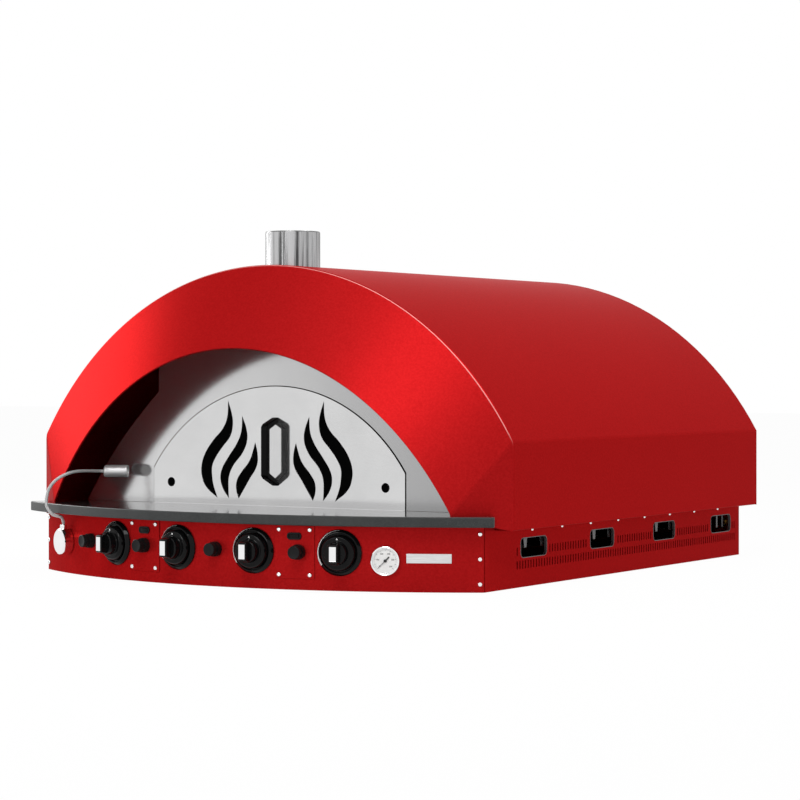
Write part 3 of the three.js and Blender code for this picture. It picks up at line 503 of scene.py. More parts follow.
def finish_frame_nodes():
    """Every frame node takes the finish of its record slot, except the door backing, which takes the black of
    painted shade.
    """
    for name, node in nodes.items():
        node.data.materials.clear()
        node.data.materials.append(PAINTED_SHADE_BLACK if name == "door_backing" else SLOT_FINISH[SLOTS[name]])


# ------------------------------------------------------------------ camera, light, ground
CAMERA_TURN = math.radians(32.07)


def add_camera():
    camera = bpy.data.cameras.new("camera")
    camera.lens = 110.75
    camera.sensor_width = 36
    camera.shift_y = -0.0333
    camera.clip_end = 100
    holder = bpy.data.objects.new("camera", camera)
    holder.location = (2.9044, -4.0769, 0.420)
    holder.rotation_euler = (math.pi / 2, 0, CAMERA_TURN)
    bpy.context.scene.collection.objects.link(holder)
    bpy.context.scene.camera = holder


def add_lamp(name, place, aim, size, power):
    light = bpy.data.lights.new(name, "AREA")
    light.energy = power
    light.shape = "RECTANGLE"
    light.size = size
    light.size_y = size
    holder = bpy.data.objects.new(name, light)
    holder.location = place
    direction = Vector(aim) - Vector(place)
    holder.rotation_euler = direction.to_track_quat("-Z", "Y").to_euler()
    bpy.context.scene.collection.objects.link(holder)


def add_studio():
    scene = bpy.context.scene
    scene.view_settings.view_transform = "Standard"
    world = bpy.data.worlds.new("studio")
    scene.world = world
    world.use_nodes = True
    tree = world.node_tree
    tree.nodes.clear()
    start = Wire(tree, None)
    rays = start.node("ShaderNodeLightPath")
    camera_ray = Wire(tree, rays.outputs["Is Camera Ray"])
    mirror_ray = Wire(tree, rays.outputs["Is Glossy Ray"])
    through_ray = Wire(tree, rays.outputs["Is Transmission Ray"])
    room = start.node("ShaderNodeBackground", Color=(1.0, 1.0, 1.0, 1.0), Strength=0.22)
    seen = start.node("ShaderNodeBackground", Color=(1.0, 1.0, 1.0, 1.0), Strength=1.0)
    mix = start.node("ShaderNodeMixShader")
    tree.links.new((camera_ray + mirror_ray + through_ray).clamp().socket, mix.inputs[0])
    tree.links.new(room.outputs[0], mix.inputs[1])
    tree.links.new(seen.outputs[0], mix.inputs[2])
    out = start.node("ShaderNodeOutputWorld")
    tree.links.new(mix.outputs[0], out.inputs[0])

    add_lamp("key", (0.9, -2.5, 3.0), (0, 0.1, 0.25), 1.5, 48)
    add_lamp("left", (-3.1, 0.2, 1.3), (-0.3, 0, 0.25), 1.4, 48)
    add_lamp("right", (1.9, 0.9, 3.3), (0.3, 0.5, 0.2), 1.2, 58)
    add_lamp("front", (-0.4, -4.2, 1.2), (-0.3, 0, 0.25), 1.2, 16)
    add_lamp("top", (0.0, -0.5, 3.6), (0, 0.5, 0.3), 2.2, 22)

    bpy.ops.mesh.primitive_plane_add(size=40, location=(0, 0, 0))
    ground = bpy.context.object
    ground.name = "ground"
    f = Finish("ground", Base_Color=(0.90, 0.90, 0.90), Roughness=0.9)
    rays = f.place.node("ShaderNodeLightPath")
    seen = (Wire(f.tree, rays.outputs["Is Camera Ray"]) + Wire(f.tree, rays.outputs["Is Glossy Ray"])
            + Wire(f.tree, rays.outputs["Is Transmission Ray"])).clamp() * 0.97
    glow = f.place.node("ShaderNodeEmission", Color=(1.0, 1.0, 1.0, 1.0), Strength=1.0)
    mix = f.place.node("ShaderNodeMixShader", Fac=seen)
    f.tree.links.new(f.shader.outputs[0], mix.inputs[1])
    f.tree.links.new(glow.outputs[0], mix.inputs[2])
    f.tree.links.new(mix.outputs[0], f.output.inputs[0])
    ground.data.materials.append(f.material)


# ------------------------------------------------------------------ modelling by hand
def alone(piece):
    """Make one piece the only selected and the active one."""
    bpy.ops.object.select_all(action="DESELECT")
    piece.select_set(True)
    bpy.context.view_layer.objects.active = piece


def open_up(piece):
    """Into edit mode on one piece, with all of it selected."""
    alone(piece)
    bpy.ops.object.mode_set(mode="EDIT")
    bpy.ops.mesh.select_all(action="SELECT")


def leave():
    bpy.ops.object.mode_set(mode="OBJECT")


def as_mesh(name, data):
    """A curve or text as an object, turned into a mesh piece."""
    drawn = bpy.data.objects.new(name, data)
    bpy.context.scene.collection.objects.link(drawn)
    alone(drawn)
    bpy.ops.object.convert(target="MESH")
    return bpy.context.object


def begin(name, primitive, **size):
    """A primitive at its size and place, open in edit mode with everything selected."""
    if bpy.context.object and bpy.context.object.mode != "OBJECT":
        leave()
    bpy.ops.object.select_all(action="DESELECT")
    primitive(**size)
    piece = bpy.context.object
    piece.name = name
    bpy.ops.object.transform_apply(location=True, rotation=True, scale=True)
    open_up(piece)
    return piece


def pick(piece, kind, test):
    """Select the vertices, edges or faces whose item passes the test."""
    bpy.ops.mesh.select_mode(type=kind)
    bpy.ops.mesh.select_all(action="DESELECT")
    mesh = bmesh.from_edit_mesh(piece.data)
    for item in {"VERT": mesh.verts, "EDGE": mesh.edges, "FACE": mesh.faces}[kind]:
        item.select_set(test(item))
    mesh.select_flush_mode()
    bmesh.update_edit_mesh(piece.data)


def pull(x=0.0, y=0.0, z=0.0):
    """Extrude what is selected and move it."""
    bpy.ops.mesh.extrude_region_move(TRANSFORM_OT_translate={"value": (x, y, z)})


def move(x=0.0, y=0.0, z=0.0):
    bpy.ops.transform.translate(value=(x, y, z))


def resize(x=1.0, y=1.0, z=1.0, about=(0, 0, 0)):
    bpy.ops.transform.resize(value=(x, y, z), center_override=about)


def close_up(piece):
    """Leave edit mode with doubles merged and the faces pointing out."""
    bpy.ops.mesh.select_all(action="SELECT")
    bpy.ops.mesh.remove_doubles(threshold=1e-6)
    bpy.ops.mesh.normals_make_consistent(inside=False)
    leave()
    return piece


def apply_modifier(piece, kind, **settings):
    alone(piece)
    modifier = piece.modifiers.new(kind.lower(), kind)
    for key, value in settings.items():
        setattr(modifier, key, value)
    bpy.ops.object.modifier_apply(modifier=modifier.name)
    return piece


def ease(piece, width, segments=2, angle=30):
    """Round the sharp edges a little, as a press or a mould leaves them."""
    return apply_modifier(piece, "BEVEL", width=width, segments=segments, limit_method="ANGLE",
                          angle_limit=math.radians(angle), harden_normals=False)


def cut_away(piece, cutter):
    """Cut one closed piece out of another and throw the cutter away."""
    apply_modifier(piece, "BOOLEAN", operation="DIFFERENCE", object=cutter, solver="EXACT")
    bpy.data.objects.remove(cutter)
    return piece


def join(*pieces):
    bpy.ops.object.select_all(action="DESELECT")
    for piece in pieces:
        piece.select_set(True)
    bpy.context.view_layer.objects.active = pieces[0]
    bpy.ops.object.join()
    return pieces[0]


def set_down(piece, turn=0.0, place=(0, 0, 0), tip=None):
    """Turn and place a piece, with its place kept in its mesh."""
    alone(piece)
    piece.rotation_euler = tip or (0, 0, turn)
    piece.location = place
    bpy.ops.object.transform_apply(location=True, rotation=True, scale=True)
    return piece


def copy_of(piece, name):
    twin = piece.copy()
    twin.data = piece.data.copy()
    twin.name = name
    bpy.context.scene.collection.objects.link(twin)
    return twin


def like_node(name, node):
    """A merged copy of a frame node, to be eased and finished."""
    piece = copy_of(nodes[node], name)
    for key in list(piece.keys()):
        del piece[key]
    piece.parent = None
    piece.matrix_world.identity()
    piece.data.materials.clear()
    piece.hide_render = False
    piece.hide_set(False)
    open_up(piece)
    bpy.ops.mesh.remove_doubles(threshold=1e-6)
    bpy.ops.mesh.dissolve_limited(angle_limit=math.radians(0.4))
    leave()
    return piece


def hand_over(piece, finish, body, slot, *replaced, smooth=30):
    """Give a piece its finish and its body, and hide the nodes it stands for."""
    alone(piece)
    bpy.ops.object.shade_smooth_by_angle(angle=math.radians(smooth))
    apply_modifier(piece, "WEIGHTED_NORMAL", keep_sharp=True, weight=100)
    piece.data.materials.clear()
    piece.data.materials.append(finish)
    if replaced:
        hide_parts(*replaced)
    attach(piece, body)
    return piece


def turned(name, profile, steps=48, closed=False):
    """A ring drawn out along -Y through each (radius, out) of a profile.

    It is capped at both ends, or closed on itself."""
    (radius, out), *rest = profile
    piece = begin(name, bpy.ops.mesh.primitive_circle_add, vertices=steps, radius=radius,
                  fill_type="NOTHING" if closed else "NGON", location=(0, -out, 0),
                  rotation=(math.pi / 2, 0, 0))
    bpy.ops.mesh.select_mode(type="EDGE")
    bpy.ops.mesh.select_all(action="SELECT")
    for next_radius, next_out in rest + ([profile[0]] if closed else []):
        bpy.ops.mesh.extrude_edges_move(TRANSFORM_OT_translate={"value": (0, out - next_out, 0)})
        resize(next_radius / radius, 1, next_radius / radius, (0, -next_out, 0))
        radius, out = next_radius, next_out
    if not closed:
        bpy.ops.mesh.edge_face_add()
    return close_up(piece)


def boxed(name, low_corner, high_corner):
    """A closed block between two corners, left in object mode."""
    middle = [(a + b) / 2 for a, b in zip(low_corner, high_corner)]
    piece = begin(name, bpy.ops.mesh.primitive_cube_add, size=1, location=(0, 0, 0))
    resize(*[b - a for a, b in zip(low_corner, high_corner)])
    move(*middle)
    leave()
    return piece


def round_edges_along(piece, axis, radius, segments=5):
    """Round the four edges of a block that run along one axis."""
    open_up(piece)

    def runs_along(edge):
        step = edge.verts[0].co - edge.verts[1].co
        return abs(step[axis]) > 0.999 * step.length
    pick(piece, "EDGE", runs_along)
    bpy.ops.mesh.bevel(offset=radius, segments=segments, affect="EDGES")
    leave()
    return piece


# ------------------------------------------------------------------ hood
def model_hood():
    """Barrel, flared visor and bottom flange, folded from one sheet."""
    drop = math.sqrt(1 - (HOOD_HALF / ARCH_SPREAD) ** 2)
    rise = (HOOD_CREST - SHOULDER) / (1 - drop)
    mouth_rise = (MOUTH_CREST - MOUTH_FOOT) / (1 - drop)
    flare_x = MOUTH_HALF / HOOD_HALF
    flare_z = mouth_rise / rise
    base_z = HOOD_CREST - rise
    mouth_base_z = MOUTH_CREST - mouth_rise

    hood = begin("hood_skin", bpy.ops.mesh.primitive_circle_add, vertices=360, radius=1,
                 rotation=(math.pi / 2, 0, 0))
    resize(ARCH_SPREAD, 1, rise)
    move(0, RIM_Y, base_z)
    bpy.ops.mesh.bisect(plane_co=(0, 0, SHOULDER), plane_no=(0, 0, 1), clear_inner=True)
    pick(hood, "VERT", lambda v: v.co.z < SHOULDER + NEAR)
    pull(z=HOOD_FOOT - SHOULDER)

    # the barrel
    pick(hood, "EDGE", lambda e: True)
    bpy.ops.mesh.extrude_edges_move(TRANSFORM_OT_translate={"value": (0, HOOD_BACK - RIM_Y, 0)})
    # the visor: the rim drawn smaller, forwards, and leaned
    pick(hood, "EDGE", lambda e: all(v.co.y < RIM_Y + NEAR for v in e.verts))
    bpy.ops.mesh.extrude_edges_move(TRANSFORM_OT_translate={"value": (0, MOUTH_Y - RIM_Y, 0)})
    resize(flare_x, 1, flare_z)
    move(z=mouth_base_z - base_z * flare_z)
    lean = math.atan2(MOUTH_CREST_Y - MOUTH_Y, MOUTH_CREST - MOUTH_FOOT)
    pick(hood, "EDGE", lambda e: all(
        v.co.y < MOUTH_Y + NEAR and v.co.z > MOUTH_FOOT - NEAR for v in e.verts))
    resize(1, 1, 1 / math.cos(lean), (0, MOUTH_Y, MOUTH_FOOT))
    bpy.ops.transform.rotate(value=lean, orient_axis="X", center_override=(0, MOUTH_Y, MOUTH_FOOT))
    pick(hood, "VERT", lambda v: v.co.y < MOUTH_Y + 1e-3 and v.co.z < MOUTH_FOOT - 0.004)
    mesh = bmesh.from_edit_mesh(hood.data)
    foot = min(v.co.z for v in mesh.verts if v.select)
    move(z=VISOR_FOOT - foot)
    # the flange that is screwed to the base
    pick(hood, "EDGE", lambda e: all(
        v.co.z < HOOD_FOOT + NEAR and v.co.y > RIM_Y - NEAR and abs(v.co.x) > BASE_HALF
        for v in e.verts)
        and abs(e.verts[0].co.y - e.verts[1].co.y) > 0.5)
    bpy.ops.mesh.extrude_edges_move(TRANSFORM_OT_translate={"value": (0, 0, 0)})
    resize((BASE_HALF + 0.0003) / HOOD_HALF, 1, 1)
    close_up(hood)
    ease(hood, 0.004, 3, 18)
    apply_modifier(hood, "SOLIDIFY", thickness=SHEET, offset=-1, use_even_offset=True)
    hole = begin("flue_hole", bpy.ops.mesh.primitive_cylinder_add, vertices=64,
                 radius=FLUE_R + 0.0004, depth=0.2, location=(0, FLUE_Y, HOOD_CREST))
    leave()
    cut_away(hood, hole)
    hand_over(hood, RED, "oven", "red_paint", "hood_shell", "hood_visor", smooth=24)


def model_flue():
    """Rolled stainless stub with a turned-over lip and a raised seam."""
    top = FLUE_TOP
    wall = 0.002
    foot = low("flue_stub").z
    tube = turned("flue_tube", [
        (FLUE_R, foot), (FLUE_R, top - 0.003), (FLUE_R - 0.0006, top - 0.0006),
        (FLUE_R - 0.0014, top), (FLUE_R - wall, top - 0.0008), (FLUE_R - wall, foot)], 96, closed=True)
    set_down(tube, tip=(-math.pi / 2, 0, 0), place=(0, FLUE_Y, 0))
    seam = boxed("flue_seam", (-0.004, FLUE_R - 0.0010, HOOD_CREST - 0.02),
                 (0.004, FLUE_R + 0.0008, top - 0.004))
    ease(seam, 0.0006, 2)
    set_down(seam, place=(0, FLUE_Y, 0))
    join(tube, seam)
    hand_over(tube, FLUE_STEEL, "oven", "brushed_stainless", "flue_stub", smooth=40)


# ------------------------------------------------------------------ base
def vent_cutters(holes):
    """The two rows of upright slots, as one cutter; the upper row stops at the openings."""
    slot = boxed("slot", (BASE_HALF - CUT_REACH, -0.0021, -0.0085),
                 (BASE_HALF + CUT_REACH, 0.0021, 0.0085))
    round_edges_along(slot, 0, 0.0020, 2)
    cutters = []
    for row, z in enumerate(SLOT_ROWS):
        for k in range(SLOT_COUNT):
            y = SLOT_FIRST + k * (SLOT_LAST - SLOT_FIRST) / (SLOT_COUNT - 1)
            if row and any(abs(y - middle) < VENT_WIDTH / 2 + 0.009 for middle in holes):
                continue
            cutters.append(set_down(copy_of(slot, f"slot_{row}_{k}"), place=(0, y, z)))
    bpy.data.objects.remove(slot)
    return join(*cutters)


def mirrored(piece, name):
    """A copy turned over to the left side."""
    twin = copy_of(piece, name)
    open_up(twin)
    resize(-1, 1, 1)
    return close_up(twin)


def model_side_panels():
    holes = [VENT_FIRST + i * (VENT_LAST - VENT_FIRST) / 3 for i in range(4)]
    panel = boxed("side_panel_right", (BASE_HALF - SHEET, SHEET, 0),
                  (BASE_HALF, BASE_REAR, BASE_TOP))
    cut_away(panel, vent_cutters(holes))
    for y in holes:
        hole = boxed("opening",
                     (BASE_HALF - CUT_REACH, y - VENT_WIDTH / 2, VENT_Z - VENT_HEIGHT / 2),
                     (BASE_HALF + CUT_REACH, y + VENT_WIDTH / 2, VENT_Z + VENT_HEIGHT / 2))
        cut_away(panel, round_edges_along(hole, 0, 0.010, 6))
    left = mirrored(panel, "side_panel_left")
    hand_over(panel, RED, "oven", "red_paint", "base_right_panel")
    hand_over(left, RED, "oven", "red_paint", "base_left_panel")
    for k, y in enumerate(holes):
        model_side_opening(k + 1, y, upright=k == 3)
    # a black sheet inside the base behind the openings: painted shade for the dark inside
    baffle = boxed("air_baffle_right", (BASE_HALF - 0.060, 0.110, 0.0350),
                   (BASE_HALF - 0.0585, BASE_REAR - 0.010, BASE_TOP - 0.005))
    open_up(baffle)
    pick(baffle, "FACE", lambda f: f.normal.z < -0.9)
    pull(x=-0.030, z=-0.022)
    leave()
    ease(baffle, 0.0006, 2)
    other = mirrored(baffle, "air_baffle_left")
    hand_over(baffle, PAINTED_SHADE_BLACK, "oven", "galvanised_steel")
    hand_over(other, PAINTED_SHADE_BLACK, "oven", "galvanised_steel")


def model_side_opening(number, y, upright):
    """Thin grey edging clipped into an opening, and two bent tabs behind it."""
    outer = BASE_HALF
    half, tall = VENT_WIDTH / 2, VENT_HEIGHT / 2
    rim = boxed(f"opening_edging_right_{number}",
                (outer - 0.006, y - half - 0.0006, VENT_Z - tall - 0.0006),
                (outer + 0.0005, y + half + 0.0006, VENT_Z + tall + 0.0006))
    round_edges_along(rim, 0, 0.0110, 6)
    hole = boxed("inside", (outer - 0.02, y - half + 0.0007, VENT_Z - tall + 0.0007),
                 (outer + 0.01, y + half - 0.0007, VENT_Z + tall - 0.0007))
    cut_away(rim, round_edges_along(hole, 0, 0.0090, 6))
    ease(rim, 0.0003, 2, 40)
    tabs = []
    for end in (-1, 1):
        x = outer - 0.014
        tab = boxed(f"baffle_tab_right_{number}",
                    (x - 0.001, -0.011, -0.010 if upright else -0.002),
                    (x + 0.001, 0.011, 0.045))
        open_up(tab)
        if upright:
            pick(tab, "VERT", lambda v: True)
            resize(1, 0.32, 1)
        else:
            pick(tab, "VERT", lambda v: v.co.z < 0.01)
            resize(1, 0.40, 1)
        leave()
        ease(tab, 0.0006, 2)
        beside = 0.015 if upright else 0.034
        tabs.append(set_down(tab, place=(0, y + 0.023 + end * beside, VENT_Z)))
    tabs = join(*tabs)
    for piece in (rim, tabs):
        left = mirrored(piece, piece.name.replace("right", "left"))
        hand_over(piece, TRIM, "oven", "galvanised_steel")
        hand_over(left, TRIM, "oven", "galvanised_steel")


def model_shelf():
    slab = like_node("stone_shelf", "shelf_slab")
    ease(slab, 0.0022, 4, 25)
    hand_over(slab, STONE, "oven", "dark_stone", "shelf_slab", smooth=35)


def model_service_plates():
    for number in (1, 2):
        plate = like_node(f"service_cover_{number}", f"service_plate_{number}")
        ease(plate, 0.0005, 2, 40)
        hand_over(plate, RED, "oven", "red_paint", f"service_plate_{number}")


# ------------------------------------------------------------------ fixings
def model_screw():
    """A pan-head screw with a cross recess, along -Y, its seat at the origin."""
    radius, tall = 0.0042, 0.0024
    head = turned("screw", [(radius, 0), (radius, tall * 0.35), (radius * 0.86, tall * 0.75),
                            (radius * 0.55, tall)], 20)
    for turn in (0.0, math.pi / 2):
        slot = boxed("recess", (-0.0020, -tall - 0.001, -0.0005), (0.0020, -tall + 0.0011, 0.0005))
        set_down(slot, tip=(0, turn + 0.35, 0))
        cut_away(head, slot)
    return head


FLANGE_SCREWS = (0.188, 1.057, 8)  # first, last, how many


def model_screws():
    screw = model_screw()
    number = 0
    places = []
    for arc in (-0.2030, -0.1340, 0.1650, 0.2300):
        for z in (0.1170, 0.0295):
            places.append((on_bow(arc / BOW_R, 0.0020) + Vector((0, 0, z)), arc / BOW_R))
    edge = bow_angle(0.5335)
    for side in (-1, 1):
        for z in (0.112, 0.064, 0.016):
            places.append((on_bow(side * edge, SEAT) + Vector((0, 0, z)), side * edge))
        # through the hood's flange, heads down beside the base
        first, last, count = FLANGE_SCREWS
        for k in range(count):
            y = first + k * (last - first) / (count - 1)
            seat = Vector((side * (BASE_HALF + SEAT), y, HOOD_FOOT - 0.0040))
            places.append((seat, side * math.pi / 2))
    for x in (-0.50, -0.25, 0.0, 0.25):
        places.append((Vector((x, BASE_REAR + SEAT, 0.018)), math.pi))
    for x, z in ((-0.55, 0.14), (0.55, 0.14), (-0.55, 0.26), (0.55, 0.26),
                 (-0.40, 0.43), (0.40, 0.43), (-0.2, 0.575), (0.2, 0.575), (-0.2, 0.14), (0.2, 0.14)):
        places.append((Vector((x, HOOD_REAR + SEAT, z)), math.pi))
    for place, turn in places:
        number += 1
        twin = copy_of(screw, f"screw_{number}")
        set_down(twin, turn=turn, place=place)
        hand_over(twin, CHROME, "oven", "chrome")
    bpy.data.objects.remove(screw)


# ------------------------------------------------------------------ door
FLAMES = (
    ((120, 364), (147, 160),
     ((109, 330), (108, 312), (114, 290), (134, 267), (151, 246), (161, 226), (161, 205),
      (158, 188)),
     ((123, 327), (134, 305), (159, 280), (181, 250), (189, 226), (188, 205), (179, 185))),
    ((84, 332), (118, 160),
     ((73, 305), (71, 283), (81, 258), (109, 225), (118, 204), (119, 182)),
     ((87, 298), (97, 276), (118, 248), (136, 221), (140, 203), (134, 181))),
    ((51, 278), (93, 160),
     ((45, 255), (46, 231), (66, 200)),
     ((56, 262), (65, 240), (88, 213), (98, 197), (99, 177))),
)


def flame_cutter(tip, foot, near, far, side):
    """One flame, drawn as a closed smooth curve with two points, made a thick cutter."""
    curve = bpy.data.curves.new("flame", "CURVE")
    curve.dimensions = "2D"
    curve.fill_mode = "BOTH"
    curve.extrude = 0.010
    curve.resolution_u = 5
    spline = curve.splines.new("BEZIER")
    outline = [tip, *near, foot, *reversed(far)]
    spline.bezier_points.add(len(outline) - 1)
    for point, (x, z) in zip(spline.bezier_points, outline):
        point.co = (side * x * MM, z * MM, 0)
        sharp = (x, z) in (tip, foot)
        point.handle_left_type = point.handle_right_type = "VECTOR" if sharp else "AUTO"
    spline.use_cyclic_u = True
    cutter = set_down(as_mesh("flame", curve), tip=(math.pi / 2, 0, 0), place=(0, DOOR_Y, 0))
    open_up(cutter)
    return close_up(cutter)


def model_door():
    """Arched plate folded forward at its foot, with three flames cut out on each side."""
    rise = DOOR_CREST - DOOR_SIDE
    radius = (DOOR_HALF ** 2 + rise ** 2) / (2 * rise)
    door = begin("door_face", bpy.ops.mesh.primitive_circle_add, vertices=320, radius=radius,
                 rotation=(math.pi / 2, 0, 0))
    move(0, DOOR_Y, DOOR_CREST - radius)
    bpy.ops.mesh.bisect(plane_co=(0, 0, DOOR_SIDE), plane_no=(0, 0, 1), clear_inner=True)
    pick(door, "VERT", lambda v: v.co.z < DOOR_SIDE + NEAR)
    pull(z=DOOR_FOOT - DOOR_SIDE)
    pick(door, "VERT", lambda v: v.co.z < DOOR_FOOT + NEAR)
    bpy.ops.mesh.edge_face_add()
    pick(door, "EDGE", lambda e: True)
    bpy.ops.mesh.edge_face_add()
    pick(door, "EDGE", lambda e: all(v.co.z < DOOR_FOOT + NEAR for v in e.verts))
    bpy.ops.mesh.extrude_edges_move(TRANSFORM_OT_translate={"value": (0, -DOOR_LIP, 0)})
    close_up(door)
    mesh = door.data
    facing = sum((face.normal * face.area for face in mesh.polygons), Vector())
    if facing.y > 0:
        mesh.flip_normals()
    apply_modifier(door, "SOLIDIFY", thickness=0.003, offset=-1, use_even_offset=True)
    for side in (-1, 1):
        for flame in FLAMES:
            cut_away(door, flame_cutter(*flame, side))
        hole = begin("hole", bpy.ops.mesh.primitive_cylinder_add, vertices=40,
                     radius=DOOR_HOLE_R, depth=0.03, rotation=(math.pi / 2, 0, 0),
                     location=(side * DOOR_HOLE_X, DOOR_Y, DOOR_HOLE_Z))
        leave()
        cut_away(door, hole)
    ease(door, 0.0004, 2, 50)
    hand_over(door, DOOR_STEEL, "door", "satin_stainless", "door_panel", smooth=30)

    handle = like_node("door_pull", "door_handle")
    ease(handle, 0.0028, 4, 25)
    hand_over(handle, STOVE_BLACK, "door", "black_heat_paint", "door_handle", smooth=40)


# ------------------------------------------------------------------ controls on the bow
def place_on_bow(piece, angle, z, out=0.0):
    return set_down(piece, turn=angle, place=on_bow(angle, out) + Vector((0, 0, z)))


def model_knobs():
    bezel = turned("bezel", [(0.0070, 0.0003), (0.0450, 0.0003), (0.0450, 0.0022), (0.0440, 0.0036),
                             (0.0405, 0.0076), (0.0385, 0.0080), (0.0375, 0.0074), (0.0372, 0.0042),
                             (0.0070, 0.0040)], 96, closed=True)
    knob = turned("knob", [(0.0052, 0.0080), (0.0345, 0.0080), (0.0350, 0.0086), (0.0350, 0.0110),
                           (0.0330, 0.0160), (0.0310, 0.0178), (0.0300, 0.0181), (0.0246, 0.0184),
                           (0.0236, 0.0192), (0.0222, 0.0310), (0.0212, 0.0326), (0.0195, 0.0332),
                           (0.0050, 0.0332)], 72)
    grip = boxed("grip", (-0.0105, -0.0470, -0.0205), (0.0105, -0.0300, 0.0205))
    open_up(grip)
    pick(grip, "FACE", lambda f: f.normal.y < -0.9)
    resize(0.86, 1, 0.84, (0, -0.0470, 0))
    leave()
    ease(grip, 0.0022, 4, 30)
    join(knob, grip)
    insert = boxed("insert", (-0.0068, -0.0478, -0.0142), (0.0068, -0.0462, 0.0142))
    open_up(insert)
    pick(insert, "FACE", lambda f: f.normal.y < -0.9)
    bpy.ops.mesh.inset(thickness=0.0012)
    move(y=0.0005)
    leave()
    ease(insert, 0.0003, 2, 30)
    arc = model_scale_mark(bezel)
    for i in KNOBS:
        angle = joint_angle(f"knob_turn_{i}")
        ring = place_on_bow(copy_of(bezel, f"bezel_ring_{i}"), angle, CONTROL_Z)
        hand_over(ring, GLOSS_BLACK, "oven", "gloss_black_plastic", f"knob_bezel_{i}", smooth=28)
        white = place_on_bow(copy_of(arc, f"flame_scale_{i}"), angle, CONTROL_Z)
        hand_over(white, ENAMEL, "oven", "white_enamel")
        body = place_on_bow(copy_of(knob, f"gas_knob_{i}"), angle, CONTROL_Z)
        hand_over(body, GLOSS_BLACK, f"knob_{i}", "gloss_black_plastic", f"knob_{i}", smooth=28)
        bright = place_on_bow(copy_of(insert, f"knob_insert_{i}"), angle, CONTROL_Z)
        hand_over(bright, CHROME, f"knob_{i}", "chrome")
        tip = begin(f"knob_mark_{i}", bpy.ops.mesh.primitive_cylinder_add, vertices=3,
                    radius=0.0026, depth=0.0006, location=(0, -0.0183, 0.0272), rotation=(math.pi / 2, 0, 0))
        close_up(tip)
        place_on_bow(tip, angle, CONTROL_Z)
        hand_over(tip, ENAMEL, f"knob_{i}", "white_enamel")
    for piece in (bezel, knob, insert, arc):
        bpy.data.objects.remove(piece)


def model_scale_mark(bezel):
    """The white arc on a bezel's left slope, widest at its low end: a slice of the bezel itself."""
    band = begin("band", bpy.ops.mesh.primitive_cylinder_add, vertices=96, radius=0.0436,
                 depth=0.030, rotation=(math.pi / 2, 0, 0))
    leave()
    core = begin("core", bpy.ops.mesh.primitive_cylinder_add, vertices=96, radius=0.0417,
                 depth=0.050, location=(0.0011, 0, 0.0015), rotation=(math.pi / 2, 0, 0))
    leave()
    cut_away(band, core)
    # from just past the top round the left to the lower left
    right = boxed("right", (0.0, -0.03, -0.06), (0.06, 0.03, 0.06))
    cut_away(band, right)
    below = boxed("below", (-0.08, -0.03, -0.06), (0.08, 0.03, 0.0))
    set_down(below, tip=(0, math.radians(-35), 0))
    cut_away(band, below)
    arc = copy_of(bezel, "flame_scale")
    apply_modifier(arc, "BOOLEAN", operation="INTERSECT", object=band, solver="EXACT")
    bpy.data.objects.remove(band)
    return set_down(arc, place=(0, -0.00025, 0))


def model_igniters():
    for i in KNOBS:
        angle = node_angle(f"igniter_button_{i}")
        lift = 0.0022 if i % 2 == 0 else 0.0
        collar = turned(f"igniter_collar_{i}", [
            (0.0100, -0.0330), (0.0100, 0.0003), (0.0150, 0.0003), (0.0150, 0.0020), (0.0146, 0.0112),
            (0.0142, 0.0122), (0.0136, 0.0122), (0.0133, 0.0116), (0.0133, 0.0030), (0.0085, 0.0028),
            (0.0085, -0.0195)], 40)
        place_on_bow(collar, angle, CONTROL_Z, lift)
        hand_over(collar, MATT_BLACK, "oven", "black_plastic", f"igniter_body_{i}")
        button = turned(f"igniter_cap_{i}", [
            (0.0080, -0.0120), (0.0080, 0.0088), (0.0130, 0.0090), (0.0130, 0.0100), (0.0128, 0.0238),
            (0.0124, 0.0246), (0.0117, 0.0250), (0.0108, 0.0249), (0.0070, 0.0243), (0.0030, 0.0240)], 40)
        place_on_bow(button, angle, CONTROL_Z, lift)
        hand_over(button, MATT_BLACK, f"igniter_{i}", "black_plastic", f"igniter_button_{i}")


def node_angle(node):
    """The angle round the bow of a node's middle."""
    middle = (low(node) + high(node)) / 2
    return math.atan2(middle.x, BOW_Y - middle.y)


def model_switches():
    for i in (1, 2):
        bezel = like_node(f"rocker_surround_{i}", f"switch_frame_{i}")
        ease(bezel, 0.0007, 3, 30)
        hand_over(bezel, MATT_BLACK, "oven", "black_plastic", f"switch_frame_{i}")
        paddle = like_node(f"rocker_paddle_{i}", f"switch_rocker_{i}")
        ease(paddle, 0.0006, 3, 20)
        hand_over(paddle, GLOSS_BLACK, f"rocker_{i}", "black_plastic", f"switch_rocker_{i}")


